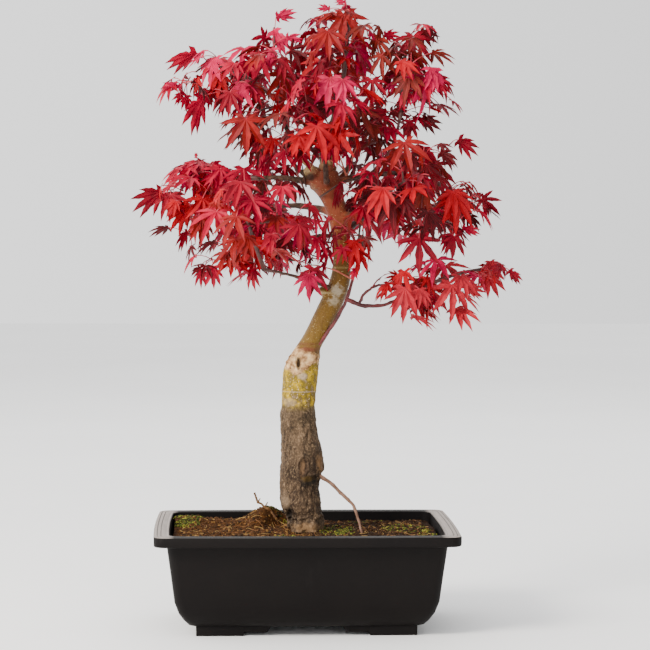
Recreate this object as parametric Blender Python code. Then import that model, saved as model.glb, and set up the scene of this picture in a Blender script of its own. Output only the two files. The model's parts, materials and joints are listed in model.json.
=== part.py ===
"""Japanese maple bonsai: a red-leaved tree with a leaning trunk, in its rectangular training pot.

Every piece is its own solid. The pot is a lofted shell on four feet, the soil a block that fills it,
the trunk and each bough a tapering tube, and each mass of foliage a set of twigs and lobed leaves
that branch from one stem and are joined into one body. Lengths are in metres, +Z is up, and the
origin is on the floor under the middle of the whole tree.
"""

import math
import random

import bmesh
import bpy
import numpy as np
from mathutils import Matrix, Vector

OBJECT_NAME = "maple_bonsai"

# Clearance between pieces that touch.
GAP = 0.0003

# The pot, measured over its rim, and the pot's centre from the origin.
POT_LENGTH = 0.270
POT_WIDTH = 0.200
POT_HEIGHT = 0.0931
POT_X = -0.019
POT_Y = 0.0
RIM_WIDTH = 0.0135
RIM_FACE = 0.0090
RIM_EDGE = 0.0014
RIM_BOW = 0.0025
WALL = 0.0023
FLOOR_THICKNESS = 0.0030
FLOOR_BEVEL = 0.004
RIM_CORNER = 0.014
# The outside of the pot's body below the rim: height above the floor, and how far it stands
# inside the rim's outer edge.
BODY_PROFILE = ((0.0085, 0.0345), (0.0100, 0.0305), (0.0148, 0.0262), (0.0215, 0.0218),
                (0.0320, 0.0180), (0.0841, 0.0113))
BODY_CORNER = 0.016
FOOT_OUTER = (0.0994, 0.0645)
FOOT_BLOCK = (0.044, 0.030)
FOOT_STEP = (0.024, 0.016)
FOOT_STEP_HEIGHT = 0.0032
FOOT_CHAMFER = 0.0012
FOOT_CORNER = 0.004
DRAIN_RADIUS = 0.011
DRAIN_X = 0.062

# The soil's level, and its mounds: centre, height and spread.
SOIL_LEVEL = 0.0842
SOIL_MOUNDS = ((-0.034, 0.056, 0.0165, 0.017), (-0.106, 0.062, 0.0070, 0.020), (0.112, 0.020, 0.0020, 0.016))
SOIL_RIPPLE = 0.0007
SOIL_RIPPLE_TURNS = (95.0, 120.0)
SOIL_FLAT_RADIUS = 0.041
SOIL_RISE_RADIUS = 0.052
SOIL_RINGS = 9

# The trunk's centre line and diameter, from the soil to the top cut: x, y, z, diameter.
TRUNK = ((0.0026, 0.0130, 0.0845, 0.0300), (0.0022, 0.0130, 0.0940, 0.0306), (-0.0026, 0.0130, 0.1060, 0.0366),
         (-0.0044, 0.0135, 0.1220, 0.0358), (-0.0036, 0.0140, 0.1370, 0.0373), (-0.0024, 0.0145, 0.1540, 0.0380),
         (-0.0046, 0.0150, 0.1740, 0.0342), (-0.0061, 0.0150, 0.1900, 0.0326), (-0.0054, 0.0150, 0.2060, 0.0300),
         (-0.0038, 0.0150, 0.2300, 0.0316), (-0.0014, 0.0150, 0.2420, 0.0280), (0.0032, 0.0148, 0.2550, 0.0205),
         (0.0114, 0.0145, 0.2690, 0.0198), (0.0236, 0.0135, 0.2960, 0.0190), (0.0320, 0.0125, 0.3180, 0.0169),
         (0.0338, 0.0115, 0.3370, 0.0147), (0.0330, 0.0110, 0.3580, 0.0160), (0.0313, 0.0105, 0.3770, 0.0203),
         (0.0252, 0.0100, 0.3910, 0.0208), (0.0204, 0.0100, 0.4030, 0.0275), (0.0175, 0.0100, 0.4170, 0.0235))
TRUNK_STEP = 0.0135
TRUNK_SIDES = 12
SWELLING_SIDES = 8
# Swellings fused to the trunk: foot, tip, radius at the foot and at the tip. The first three are the
# flare of its roots, the fourth and fifth the pruned tops, then a bud scar and a pruned stub.
TRUNK_SWELLINGS = (((0.002, 0.016, 0.112), (0.021, 0.024, 0.0830), 0.0130, 0.0040),
                   ((-0.003, 0.016, 0.116), (-0.011, 0.034, 0.0830), 0.0130, 0.0040),
                   ((0.002, 0.010, 0.106), (0.015, -0.004, 0.0830), 0.0110, 0.0036),
                   ((0.016, 0.010, 0.404), (0.002, 0.002, 0.4190), 0.0095, 0.0068),
                   ((0.018, 0.010, 0.406), (0.021, 0.009, 0.4270), 0.0100, 0.0062),
                   ((0.024, 0.013, 0.306), (0.013, 0.010, 0.3075), 0.0060, 0.0034),
                   ((0.004, 0.014, 0.147), (0.0165, 0.010, 0.1480), 0.0110, 0.0085))

# Limbs: what each grows from, where on it (a height on the trunk, a fraction of a bough), its tip,
# how far its middle bends from straight, and its radius at the foot and at the tip.
LIMBS = {
    "side_root": ("trunk", 0.138, (0.0525, -0.008, 0.0830), (0.007, 0.006, 0.004), 0.0034, 0.0015),
    "side_shoot": ("trunk", 0.240, (0.0440, 0.002, 0.3190), (0.0070, -0.0060, 0.0), 0.0018, 0.0014),
    "leader": ("trunk", 0.408, (0.0300, 0.008, 0.4790), (-0.003, 0.003, 0.000), 0.0068, 0.0030),
    "left_upper_bough": ("trunk", 0.399, (-0.0450, 0.004, 0.4110), (0.000, -0.003, 0.003), 0.0044, 0.0024),
    "left_high_bough": ("trunk", 0.410, (-0.0210, -0.006, 0.4680), (-0.009, -0.003, 0.003), 0.0040, 0.0022),
    "left_mid_bough": ("trunk", 0.354, (-0.0130, 0.006, 0.3510), (0.000, -0.002, 0.003), 0.0032, 0.0018),
    "left_low_bough": ("trunk", 0.306, (-0.0290, -0.034, 0.3260), (0.000, -0.004, 0.002), 0.0030, 0.0016),
    "right_bough": ("trunk", 0.404, (0.0720, 0.006, 0.4150), (0.000, 0.000, 0.003), 0.0046, 0.0026),
    "right_riser": ("right_bough", 0.72, (0.0860, 0.000, 0.4640), (0.004, 0.000, -0.004), 0.0026, 0.0019),
    "right_low_bough": ("side_shoot", 0.70, (0.0840, -0.004, 0.2995), (0.000, 0.000, -0.006), 0.0021, 0.0013),
    "right_low_fork": ("right_low_bough", 0.34, (0.0770, -0.008, 0.3140), (-0.004, 0.000, 0.005), 0.0014, 0.0010),
    "front_bough": ("trunk", 0.401, (0.0160, -0.034, 0.4330), (0.000, -0.006, -0.006), 0.0040, 0.0024),
    "front_right_bough": ("trunk", 0.377, (0.0640, -0.044, 0.3900), (0.004, -0.006, -0.004), 0.0036, 0.0020),
    "left_inner_bough": ("trunk", 0.405, (-0.0140, 0.024, 0.4320), (-0.004, 0.003, -0.003), 0.0036, 0.0020),
    "right_inner_bough": ("trunk", 0.410, (0.0460, 0.024, 0.4380), (0.004, 0.003, -0.004), 0.0036, 0.0020),
    "back_bough": ("trunk", 0.410, (0.0150, 0.048, 0.4560), (0.000, 0.008, -0.006), 0.0042, 0.0024),
    "back_left_bough": ("trunk", 0.384, (-0.0200, 0.052, 0.3860), (0.000, 0.004, 0.003), 0.0038, 0.0022),
    "back_right_bough": ("trunk", 0.366, (0.0640, 0.052, 0.3820), (0.000, 0.006, 0.000), 0.0038, 0.0022),
}
LIMB_STEPS = 4
LIMB_SIDES = 6
# A dead snag that stands in the soil by the trunk, with no parent.
SNAG = ((-0.0241, 0.050, 0.0880), (-0.0460, 0.050, 0.1160))
SNAG_RADII = (0.0012, 0.0008)

# Masses of foliage: the limb that carries each, its room's centre and half sizes, its number of
# leaves, and the places that its longest twigs reach.
MASSES = {
    "top_foliage": ("leader", (0.038, 0.002, 0.528), (0.056, 0.060, 0.048), 17,
                    ((0.036, -0.020, 0.566), (0.010, 0.010, 0.545), (0.060, -0.026, 0.530), (0.058, 0.016, 0.548))),
    "upper_left_foliage": ("left_high_bough", (-0.062, 0.000, 0.487), (0.080, 0.066, 0.050), 20,
                           ((-0.098, 0.020, 0.517), (-0.112, -0.020, 0.492), (-0.030, 0.000, 0.531),
                            (-0.055, -0.050, 0.461))),
    "upper_right_foliage": ("right_riser", (0.100, -0.004, 0.502), (0.058, 0.060, 0.056), 19,
                            ((0.098, 0.000, 0.545), (0.082, -0.026, 0.528), (0.107, -0.034, 0.502),
                             (0.120, 0.012, 0.508), (0.096, -0.012, 0.468))),
    "centre_foliage": ("front_bough", (0.010, -0.060, 0.454), (0.066, 0.054, 0.050), 17,
                       ((-0.026, -0.082, 0.466), (0.024, -0.096, 0.446))),
    "inner_left_foliage": ("left_inner_bough", (-0.034, 0.020, 0.438), (0.050, 0.048, 0.042), 8,
                           ((-0.040, 0.004, 0.440),)),
    "inner_right_foliage": ("right_inner_bough", (0.066, 0.010, 0.446), (0.050, 0.050, 0.044), 10,
                            ((0.072, -0.010, 0.458),)),
    "mid_left_foliage": ("left_upper_bough", (-0.092, -0.002, 0.388), (0.074, 0.060, 0.043), 17,
                         ((-0.130, -0.010, 0.396), (-0.108, -0.030, 0.385), (-0.096, 0.010, 0.421))),
    "mid_right_foliage": ("right_bough", (0.118, 0.000, 0.386), (0.070, 0.062, 0.058), 19,
                          ((0.158, 0.000, 0.390), (0.133, 0.000, 0.440), (0.132, -0.040, 0.399),
                           (0.141, -0.020, 0.371))),
    "shoot_foliage": ("side_shoot", (0.050, -0.014, 0.364), (0.036, 0.046, 0.052), 8,
                      ((0.043, -0.030, 0.346), (0.056, -0.020, 0.392))),
    "low_left_foliage": ("left_mid_bough", (-0.056, 0.004, 0.350), (0.072, 0.056, 0.050), 17,
                         ((-0.103, 0.000, 0.359), (-0.092, -0.004, 0.333), (-0.046, -0.012, 0.333),
                          (-0.008, -0.016, 0.374))),
    "low_right_foliage": ("right_low_bough", (0.136, -0.002, 0.306), (0.078, 0.056, 0.044), 18,
                          ((0.184, -0.010, 0.327), (0.164, 0.006, 0.328), (0.134, -0.030, 0.316),
                           (0.092, -0.028, 0.312))),
    "front_left_foliage": ("left_low_bough", (-0.052, -0.080, 0.374), (0.066, 0.052, 0.060), 16,
                           ((0.004, -0.034, 0.330), (-0.060, -0.096, 0.406), (-0.066, -0.072, 0.336))),
    "front_right_foliage": ("front_right_bough", (0.084, -0.082, 0.400), (0.060, 0.052, 0.056), 16,
                            ((0.098, -0.056, 0.358), (0.096, -0.096, 0.414))),
    "back_high_foliage": ("back_bough", (0.014, 0.084, 0.490), (0.074, 0.052, 0.052), 15,
                          ((0.010, 0.100, 0.512), (-0.036, 0.090, 0.484))),
    "back_left_foliage": ("back_left_bough", (-0.060, 0.084, 0.386), (0.066, 0.052, 0.058), 15,
                          ((-0.066, 0.102, 0.408), (-0.096, 0.070, 0.380))),
    "back_right_foliage": ("back_right_bough", (0.090, 0.084, 0.390), (0.066, 0.052, 0.058), 15,
                           ((0.090, 0.102, 0.412), (0.126, 0.070, 0.384))),
}
# The seed that each mass's twigs and leaves are dealt out by.
SEEDS = {"top_foliage": 7, "upper_left_foliage": 23, "upper_right_foliage": 25, "centre_foliage": 38,
         "inner_left_foliage": 23, "inner_right_foliage": 14, "mid_left_foliage": 29, "mid_right_foliage": 11,
         "shoot_foliage": 5, "low_left_foliage": 23, "low_right_foliage": 15, "front_left_foliage": 37,
         "front_right_foliage": 6, "back_high_foliage": 7, "back_left_foliage": 6, "back_right_foliage": 32}
ROOM_POWER = 2.5
ROOM_MARGIN = 0.0004
STEM_LENGTH = 0.012
TWIG_TIP_RADIUS = 0.00075
TWIG_GROWTH = 0.36
LIMB_CLEARANCE = 0.0030
LEAF_CLEARANCE = 0.0042
STALK_CLEARANCE = 0.0030
ROOT_WEIGHT = 0.35
HUB_CANDIDATES = 14
HUB_SPARE = 2.6
HUB_ROOM = 0.92
LEAF_TRIES = 30
LEAF_TURN = (20.0, 130.0)
LEAF_ROLL = 25.0
STALK_CHECK = (0.008, 0.040)
LEAF_LENGTHS = (0.0350, 0.0225)
LEAF_THICKNESS = 0.0019
LEAF_DROOP = 0.30
LEAF_HANG = (12.0, 72.0)
# One side of a leaf's outline: degrees from its middle lobe, and fraction of that lobe's length.
LEAF_OUTLINE = ((0, 1.00), (19, 0.36), (38, 0.93), (59, 0.33), (82, 0.70))
LEAF_NOTCH = 0.10

# Colours (linear), roughness and metallic value of each material.
MATERIALS = {
    "pot_plastic": ((0.012, 0.011, 0.011), 0.55),
    "soil": ((0.095, 0.040, 0.015), 0.95),
    "bark": ((0.20, 0.13, 0.07), 0.85),
    "young_bark": ((0.16, 0.035, 0.025), 0.60),
    "leaf": ((0.42, 0.012, 0.020), 0.55),
}


# ---------------------------------------------------------------- scene and mesh helpers

def empty_scene():
    for obj in list(bpy.data.objects):
        bpy.data.objects.remove(obj, do_unlink=True)


def new_collection(name):
    collection = bpy.data.collections.new(name)
    bpy.context.scene.collection.children.link(collection)
    return collection


def make_material(name):
    colour, roughness = MATERIALS[name]
    material = bpy.data.materials.new(name)
    material.use_nodes = True
    shader = material.node_tree.nodes["Principled BSDF"]
    shader.inputs["Base Color"].default_value = (*colour, 1.0)
    shader.inputs["Roughness"].default_value = roughness
    shader.inputs["Metallic"].default_value = 0.0
    return material


def unit(vector):
    return vector / np.linalg.norm(vector)


def add_object(name, mesh_builder, collection, material=None):
    mesh = bpy.data.meshes.new(name)
    mesh_builder.to_mesh(mesh)
    mesh_builder.free()
    obj = bpy.data.objects.new(name, mesh)
    collection.objects.link(obj)
    if material is not None:
        mesh.materials.append(material)
    return obj


def remove_object(obj):
    mesh = obj.data
    bpy.data.objects.remove(obj, do_unlink=True)
    bpy.data.meshes.remove(mesh)


def shade(obj, angle=35.0):
    obj.data.shade_smooth()
    obj.data.set_sharp_from_angle(angle=math.radians(angle))


def apply_boolean(obj, operation, operand, solver="EXACT"):
    """Joins or cuts obj with one object, or with all of a collection, and applies it."""
    modifier = obj.modifiers.new(operation.lower(), "BOOLEAN")
    modifier.operation = operation
    modifier.solver = solver
    if isinstance(operand, bpy.types.Collection):
        modifier.operand_type = "COLLECTION"
        modifier.collection = operand
    else:
        modifier.object = operand
    bpy.context.view_layer.update()
    with bpy.context.temp_override(object=obj, active_object=obj):
        bpy.ops.object.modifier_apply(modifier=modifier.name)


def keep_main_body(obj):
    """Drops loose scraps and fills sealed hollows, so that one closed body is left."""
    builder = bmesh.new()
    builder.from_mesh(obj.data)
    bmesh.ops.triangulate(builder, faces=builder.faces[:])
    unseen = set(builder.faces)
    bodies = []
    while unseen:
        front = [unseen.pop()]
        body = []
        while front:
            face = front.pop()
            body.append(face)
            near = {other for edge in face.edges for other in edge.link_faces} & unseen
            unseen -= near
            front.extend(near)
        bodies.append(body)
    sizes = [sum(f.verts[0].co.dot(f.verts[1].co.cross(f.verts[2].co)) for f in body) for body in bodies]
    main = sizes.index(max(sizes))
    scraps = [face for i, body in enumerate(bodies) if i != main for face in body]
    bmesh.ops.delete(builder, geom=scraps, context="FACES")
    builder.to_mesh(obj.data)
    builder.free()


# ---------------------------------------------------------------- lofts: the pot and the soil

def rounded_ring(half_x, half_y, corner, bow=0.0, arc_steps=3, side_steps=(3, 2)):
    """A rectangle's outline with round corners and sides that bow outwards, anticlockwise from +X."""
    points = []
    for quarter, (sign_x, sign_y) in enumerate(((1, 1), (-1, 1), (-1, -1), (1, -1))):
        centre = (sign_x * (half_x - corner), sign_y * (half_y - corner))
        start = quarter * math.pi / 2
        for step in range(arc_steps + 1):
            angle = start + step * math.pi / 2 / arc_steps
            points.append((centre[0] + corner * math.cos(angle), centre[1] + corner * math.sin(angle)))
        steps = side_steps[quarter % 2]
        end = (points[-1][0], points[-1][1])
        following = ((-end[0], end[1]), (end[0], -end[1]))[quarter % 2]
        for step in range(1, steps):
            share = step / steps
            points.append((end[0] + (following[0] - end[0]) * share, end[1] + (following[1] - end[1]) * share))
    bowed = []
    for x, y in points:
        out_x = x * (1 + bow / half_x * (1 - (y / half_y) ** 2))
        out_y = y * (1 + bow / half_y * (1 - (x / half_x) ** 2))
        bowed.append((out_x, out_y))
    return bowed


def loft(rings):
    """A closed skin over rings of equal length, each a list of points, with its two ends filled."""
    builder = bmesh.new()
    rows = [[builder.verts.new(point) for point in ring] for ring in rings]
    count = len(rows[0])
    for lower, upper in zip(rows, rows[1:]):
        for i in range(count):
            j = (i + 1) % count
            builder.faces.new((lower[i], lower[j], upper[j], upper[i]))
    builder.faces.new(list(reversed(rows[0])))
    builder.faces.new(rows[-1])
    return builder


def pot_ring(inset, height, corner=BODY_CORNER, bow=RIM_BOW):
    """The pot's outline at a height, this far inside the rim's outer edge."""
    half_x = POT_LENGTH / 2 - RIM_BOW - inset
    half_y = POT_WIDTH / 2 - RIM_BOW - inset
    outline = rounded_ring(half_x, half_y, corner, bow)
    return [(POT_X + x, POT_Y + y, height) for x, y in outline]


def inner_profile():
    """Height and inset of the pot's inside, from the top down to its floor."""
    floor_z = BODY_PROFILE[0][0] + FLOOR_THICKNESS
    wall = [(z, inset + WALL) for z, inset in BODY_PROFILE if z > floor_z + WALL]
    lowest_inset = wall[0][1]
    return [(floor_z, lowest_inset + FLOOR_BEVEL)] + wall


def build_pot(collection, cutters, material):
    rim_under = POT_HEIGHT - RIM_FACE
    rings = [pot_ring(inset, z) for z, inset in BODY_PROFILE]
    rings.append(pot_ring(RIM_EDGE / 2, rim_under, RIM_CORNER))
    rings.append(pot_ring(0.0, rim_under + RIM_EDGE / 2, RIM_CORNER))
    rings.append(pot_ring(0.0, POT_HEIGHT - RIM_EDGE, RIM_CORNER))
    rings.append(pot_ring(RIM_EDGE, POT_HEIGHT, RIM_CORNER))
    rings.append(pot_ring(RIM_WIDTH - RIM_EDGE, POT_HEIGHT, RIM_CORNER))
    rings.append(pot_ring(RIM_WIDTH, POT_HEIGHT - RIM_EDGE, RIM_CORNER))
    rings += [pot_ring(inset, z) for z, inset in reversed(inner_profile())]
    pot = add_object("pot", loft(rings), collection, material)
    feet = new_collection("pot_feet")
    for sign_x in (1, -1):
        for sign_y in (1, -1):
            add_foot(sign_x, sign_y, feet)
    apply_boolean(pot, "UNION", feet)
    for obj in list(feet.objects):
        remove_object(obj)
    bpy.data.collections.remove(feet)
    for side in (1, -1):
        drain = bmesh.new()
        where = Matrix.Translation((POT_X + side * DRAIN_X, POT_Y, BODY_PROFILE[0][0]))
        bmesh.ops.create_cone(drain, cap_ends=True, segments=12, radius1=DRAIN_RADIUS, radius2=DRAIN_RADIUS,
                              depth=4 * FLOOR_THICKNESS, matrix=where)
        cutter = add_cutter("drain_cutter", drain, cutters)
        apply_boolean(pot, "DIFFERENCE", cutter)
    shade(pot)
    return pot


def add_foot(sign_x, sign_y, collection):
    """A block at the pot's corner and a shallower step beside it, both sunk into the pot's underside."""
    top = BODY_PROFILE[0][0] + FLOOR_THICKNESS / 2
    block_x = FOOT_OUTER[0] - FOOT_BLOCK[0] / 2
    block_y = FOOT_OUTER[1] - FOOT_BLOCK[1] / 2
    step_x = FOOT_OUTER[0] - FOOT_BLOCK[0] - FOOT_STEP[0] / 2
    step_y = FOOT_OUTER[1] - FOOT_STEP[1] / 2
    blocks = ((block_x, block_y, FOOT_BLOCK, 0.0, top), (step_x, step_y, FOOT_STEP, FOOT_STEP_HEIGHT, top - 0.0004))
    for x, y, size, bottom, upper in blocks:
        # The step runs a little way into the block, so that the two are one body.
        reach = FOOT_CHAMFER if bottom > 0 else 0.0
        rings = []
        for inset, z in ((FOOT_CHAMFER, bottom), (0.0, bottom + FOOT_CHAMFER), (0.0, upper)):
            outline = rounded_ring(size[0] / 2 - inset + reach, size[1] / 2 - inset, FOOT_CORNER, 0.0, 1, (1, 1))
            rings.append([(POT_X + sign_x * x + dx, POT_Y + sign_y * y + dy, z) for dx, dy in outline])
        add_object("foot", loft(rings), collection)


def soil_height(x, y):
    """The soil's level at a place given from the pot's centre: flat round the trunk, mounds further out."""
    away = math.hypot(x - TRUNK[0][0], y - TRUNK[0][1])
    rise = min(max((away - SOIL_FLAT_RADIUS) / (SOIL_RISE_RADIUS - SOIL_FLAT_RADIUS), 0.0), 1.0)
    rise = rise * rise * (3 - 2 * rise)
    mounds = sum(height * math.exp(-((x - cx) ** 2 + (y - cy) ** 2) / (2 * spread ** 2))
                 for cx, cy, height, spread in SOIL_MOUNDS)
    turns_x, turns_y = SOIL_RIPPLE_TURNS
    ripple = SOIL_RIPPLE * (math.sin(turns_x * x + 1.0) * math.cos(turns_y * y) - 1.0)
    return SOIL_LEVEL + rise * (mounds + ripple)


def build_soil(collection, material):
    inside = inner_profile()
    rings = []
    for z, inset in inside:
        if z < SOIL_LEVEL - FLOOR_BEVEL:
            rings.append(pot_ring(inset + GAP, max(z, inside[0][0] + GAP)))
    low, high = inside[-2], inside[-1]
    share = (SOIL_LEVEL - low[0]) / (high[0] - low[0])
    edge = pot_ring(low[1] + (high[1] - low[1]) * share + GAP * 2, SOIL_LEVEL)
    for step in range(SOIL_RINGS + 1):
        scale = 1 - step / (SOIL_RINGS + 1)
        ring = []
        for x, y, _ in edge:
            px, py = (x - POT_X) * scale, (y - POT_Y) * scale
            ring.append((POT_X + px, POT_Y + py, soil_height(px, py)))
        rings.append(ring)
    soil = add_object("soil", loft(rings), collection, material)
    shade(soil, 60.0)
    return soil


# ---------------------------------------------------------------- trunk and limbs

def place(point):
    """A point given from the pot's centre, in the tree's frame."""
    return np.array((POT_X + point[0], POT_Y + point[1], point[2]))


def smooth_line(stations, step):
    """A smooth curve through stations of any width, with a point about every step of length."""
    stations = [np.array(s, float) for s in stations]
    ends = [2 * stations[0] - stations[1], *stations, 2 * stations[-1] - stations[-2]]
    line = []
    for before, start, end, after in zip(ends, ends[1:], ends[2:], ends[3:]):
        pieces = max(1, round(float(np.linalg.norm((end - start)[:3])) / step))
        for i in range(pieces):
            t = i / pieces
            line.append(0.5 * (2 * start + (end - before) * t + (2 * before - 5 * start + 4 * end - after) * t ** 2
                               + (3 * start - before - 3 * end + after) * t ** 3))
    line.append(stations[-1])
    return line


def trunk_line():
    """The trunk's points and radii."""
    line = smooth_line(TRUNK, TRUNK_STEP)
    return [place(p) for p in line], [p[3] / 2 for p in line]


def limb_lines():
    """Each limb's points and radii: a bent line from its parent's axis to its tip."""
    lines = {"trunk": trunk_line()}
    for name, (parent, where, tip, bend, foot_radius, tip_radius) in LIMBS.items():
        points, _ = lines[parent]
        if parent == "trunk":
            foot = min(points, key=lambda p: abs(p[2] - where))
        else:
            foot = points[round(where * (len(points) - 1))]
        tip = place(tip)
        middle = (foot + tip) / 2 + np.array(bend)
        control = 2 * middle - (foot + tip) / 2
        steps = [i / LIMB_STEPS for i in range(LIMB_STEPS + 1)]
        line = [(1 - t) ** 2 * foot + 2 * t * (1 - t) * control + t * t * tip for t in steps]
        lines[name] = (line, [foot_radius + (tip_radius - foot_radius) * t for t in steps])
    return lines


def add_tube(name, points, radii, sides, collection, material=None):
    """A tapering tube with filled ends, made as a bevelled curve and turned into a closed mesh."""
    curve = bpy.data.curves.new(name, "CURVE")
    curve.dimensions = "3D"
    curve.bevel_depth = 1.0
    curve.bevel_resolution = sides // 2 - 2
    curve.use_fill_caps = True
    spline = curve.splines.new("POLY")
    spline.points.add(len(points) - 1)
    for target, point, radius in zip(spline.points, points, radii):
        target.co = (*point, 1.0)
        target.radius = radius
    source = bpy.data.objects.new(name + "_curve", curve)
    collection.objects.link(source)
    bpy.context.view_layer.update()
    evaluated = source.evaluated_get(bpy.context.evaluated_depsgraph_get())
    mesh = bpy.data.meshes.new_from_object(evaluated)
    mesh.name = name
    builder = bmesh.new()
    builder.from_mesh(mesh)
    bmesh.ops.remove_doubles(builder, verts=builder.verts[:], dist=0.00001)
    builder.to_mesh(mesh)
    builder.free()
    mesh.materials.clear()
    if material is not None:
        mesh.materials.append(material)
    tube = bpy.data.objects.new(name, mesh)
    tube.matrix_world = source.matrix_world.copy()
    collection.objects.link(tube)
    bpy.data.objects.remove(source, do_unlink=True)
    bpy.data.curves.remove(curve)
    return tube


def add_grown_tube(name, points, radii, grow, sides, collection, material=None):
    """A tube made larger by grow all over: its radii, and its length at both ends."""
    points = [np.array(point) for point in points]
    if grow > 0:
        points[0] = points[0] + grow * unit(points[0] - points[1])
        points[-1] = points[-1] + grow * unit(points[-1] - points[-2])
    return add_tube(name, points, [radius + grow for radius in radii], sides, collection, material)


def hide_as_cutter(obj):
    obj.hide_render = True
    obj.display_type = "WIRE"
    return obj


def add_cutter(name, builder, cutters):
    return hide_as_cutter(add_object(name, builder, cutters))


def add_trunk(name, grow, collection, material=None):
    """The trunk with its swellings fused on, made larger by grow all over."""
    points, radii = trunk_line()
    trunk = add_grown_tube(name, points, radii, grow, TRUNK_SIDES, collection, material)
    swellings = new_collection(name + "_swellings")
    for foot, tip, foot_radius, tip_radius in TRUNK_SWELLINGS:
        line = [place(foot), (place(foot) + place(tip)) / 2, place(tip)]
        widths = [foot_radius, (foot_radius + tip_radius) / 2, tip_radius]
        add_grown_tube("swelling", line, widths, grow, SWELLING_SIDES, swellings)
    apply_boolean(trunk, "UNION", swellings)
    for obj in list(swellings.objects):
        remove_object(obj)
    bpy.data.collections.remove(swellings)
    return trunk


def add_ground_cutter(cutters):
    """All that lies below the soil's level and the gap above it."""
    ground = bmesh.new()
    depth = 0.06
    bmesh.ops.create_cube(ground, size=1.0)
    bmesh.ops.scale(ground, vec=(POT_LENGTH, POT_WIDTH, depth), verts=ground.verts[:])
    bmesh.ops.translate(ground, vec=(POT_X, POT_Y, SOIL_LEVEL + GAP - depth / 2), verts=ground.verts[:])
    return add_cutter("ground_cutter", ground, cutters)


def add_soil_cutter(soil, cutters):
    """The soil's own shape, raised by the gap."""
    builder = bmesh.new()
    builder.from_mesh(soil.data)
    bmesh.ops.translate(builder, vec=(0.0, 0.0, GAP * 1.5), verts=builder.verts[:])
    return add_cutter("soil_cutter", builder, cutters)


def build_limbs(lines, soil, collection, cutters, materials):
    """The trunk, and each limb cut where it meets the one that it grows from."""
    ground = add_ground_cutter(cutters)
    surface = add_soil_cutter(soil, cutters)
    trunk = add_trunk("trunk", 0.0, collection, materials["bark"])
    apply_boolean(trunk, "DIFFERENCE", ground)
    keep_main_body(trunk)
    shade(trunk, 50.0)
    trunk_cutter = hide_as_cutter(add_trunk("trunk_cutter", GAP, cutters))
    for name, limb in LIMBS.items():
        points, radii = lines[name]
        young = name in ("side_shoot", "right_low_fork")
        obj = add_tube(name, points, radii, LIMB_SIDES, collection, materials["young_bark" if young else "bark"])
        if limb[0] == "trunk":
            cutter = trunk_cutter
        else:
            parent_points, parent_radii = lines[limb[0]]
            cutter = add_grown_tube(limb[0] + "_cutter", parent_points, parent_radii, GAP, LIMB_SIDES, cutters)
            hide_as_cutter(cutter)
        apply_boolean(obj, "DIFFERENCE", cutter)
        if name == "side_root":
            apply_boolean(obj, "DIFFERENCE", surface)
        keep_main_body(obj)
        shade(obj, 60.0)
    foot, tip = place(SNAG[0]), place(SNAG[1])
    snag = add_tube("soil_snag", [foot, (foot + tip) / 2 + np.array((0.0008, 0, -0.0008)), tip],
                    [SNAG_RADII[0], sum(SNAG_RADII) / 2, SNAG_RADII[1]], LIMB_SIDES, collection, materials["bark"])
    apply_boolean(snag, "DIFFERENCE", surface)
    keep_main_body(snag)
    shade(snag, 60.0)


# ---------------------------------------------------------------- foliage: rooms, twigs and leaves

def make_rooms():
    """Each mass's room: centre, half sizes and the planes that part it from the other masses."""
    rooms = {}
    for name, (_, centre, radii, _, _) in MASSES.items():
        rooms[name] = {"centre": place(centre), "radii": np.array(radii), "planes": []}
    for name, room in rooms.items():
        for other_name, other in rooms.items():
            if other_name == name:
                continue
            across = other["centre"] - room["centre"]
            distance = np.linalg.norm(across)
            normal = across / distance
            own = np.linalg.norm(normal * room["radii"])
            theirs = np.linalg.norm(normal * other["radii"])
            border = distance * own / (own + theirs)
            room["planes"].append((normal, float(normal @ room["centre"]) + border))
    return rooms


def in_room(room, points, scale=1.0):
    """Whether all points lie in the room, shrunk by scale about its centre, and clear of its planes."""
    points = np.atleast_2d(points)
    ratio = np.abs((points - room["centre"]) / (room["radii"] * scale)) ** ROOM_POWER
    if (ratio.sum(axis=1) > 1.0).any():
        return False
    return all((points @ normal).max() <= offset - ROOM_MARGIN for normal, offset in room["planes"])


def limb_segments(lines, stems):
    """All limbs and stems as tapered segments: starts, ends, and radii at both."""
    starts, ends, start_radii, end_radii = [], [], [], []
    for points, radii in list(lines.values()) + list(stems.values()):
        starts += points[:-1]
        ends += points[1:]
        start_radii += radii[:-1]
        end_radii += radii[1:]
    for foot, tip, foot_radius, tip_radius in TRUNK_SWELLINGS:
        starts.append(place(foot))
        ends.append(place(tip))
        start_radii.append(foot_radius)
        end_radii.append(tip_radius)
    return np.array(starts), np.array(ends), np.array(start_radii), np.array(end_radii)


def limb_distance(segments, points):
    """The least distance from any of the points to a limb's surface."""
    starts, ends, start_radii, end_radii = segments
    along = ends - starts
    points = np.atleast_2d(points)[:, None, :]
    share = ((points - starts) * along).sum(axis=2) / (along * along).sum(axis=1)
    share = np.clip(share, 0.0, 1.0)
    nearest = starts + share[..., None] * along
    gaps = np.linalg.norm(points - nearest, axis=2) - (start_radii + (end_radii - start_radii) * share)
    return float(gaps.min())


def leaf_frame(direction, hang, roll):
    """A leaf's forward and upward directions, hanging by a number of degrees from the twig's heading."""
    flat = unit(np.array((direction[0], direction[1], 0.0)) + 1e-9)
    angle = math.radians(hang)
    forward = flat * math.cos(angle) - np.array((0.0, 0.0, math.sin(angle)))
    up = flat * math.sin(angle) + np.array((0.0, 0.0, math.cos(angle)))
    side = np.cross(up, forward)
    turn = math.radians(roll)
    return forward, up * math.cos(turn) + side * math.sin(turn)


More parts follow.
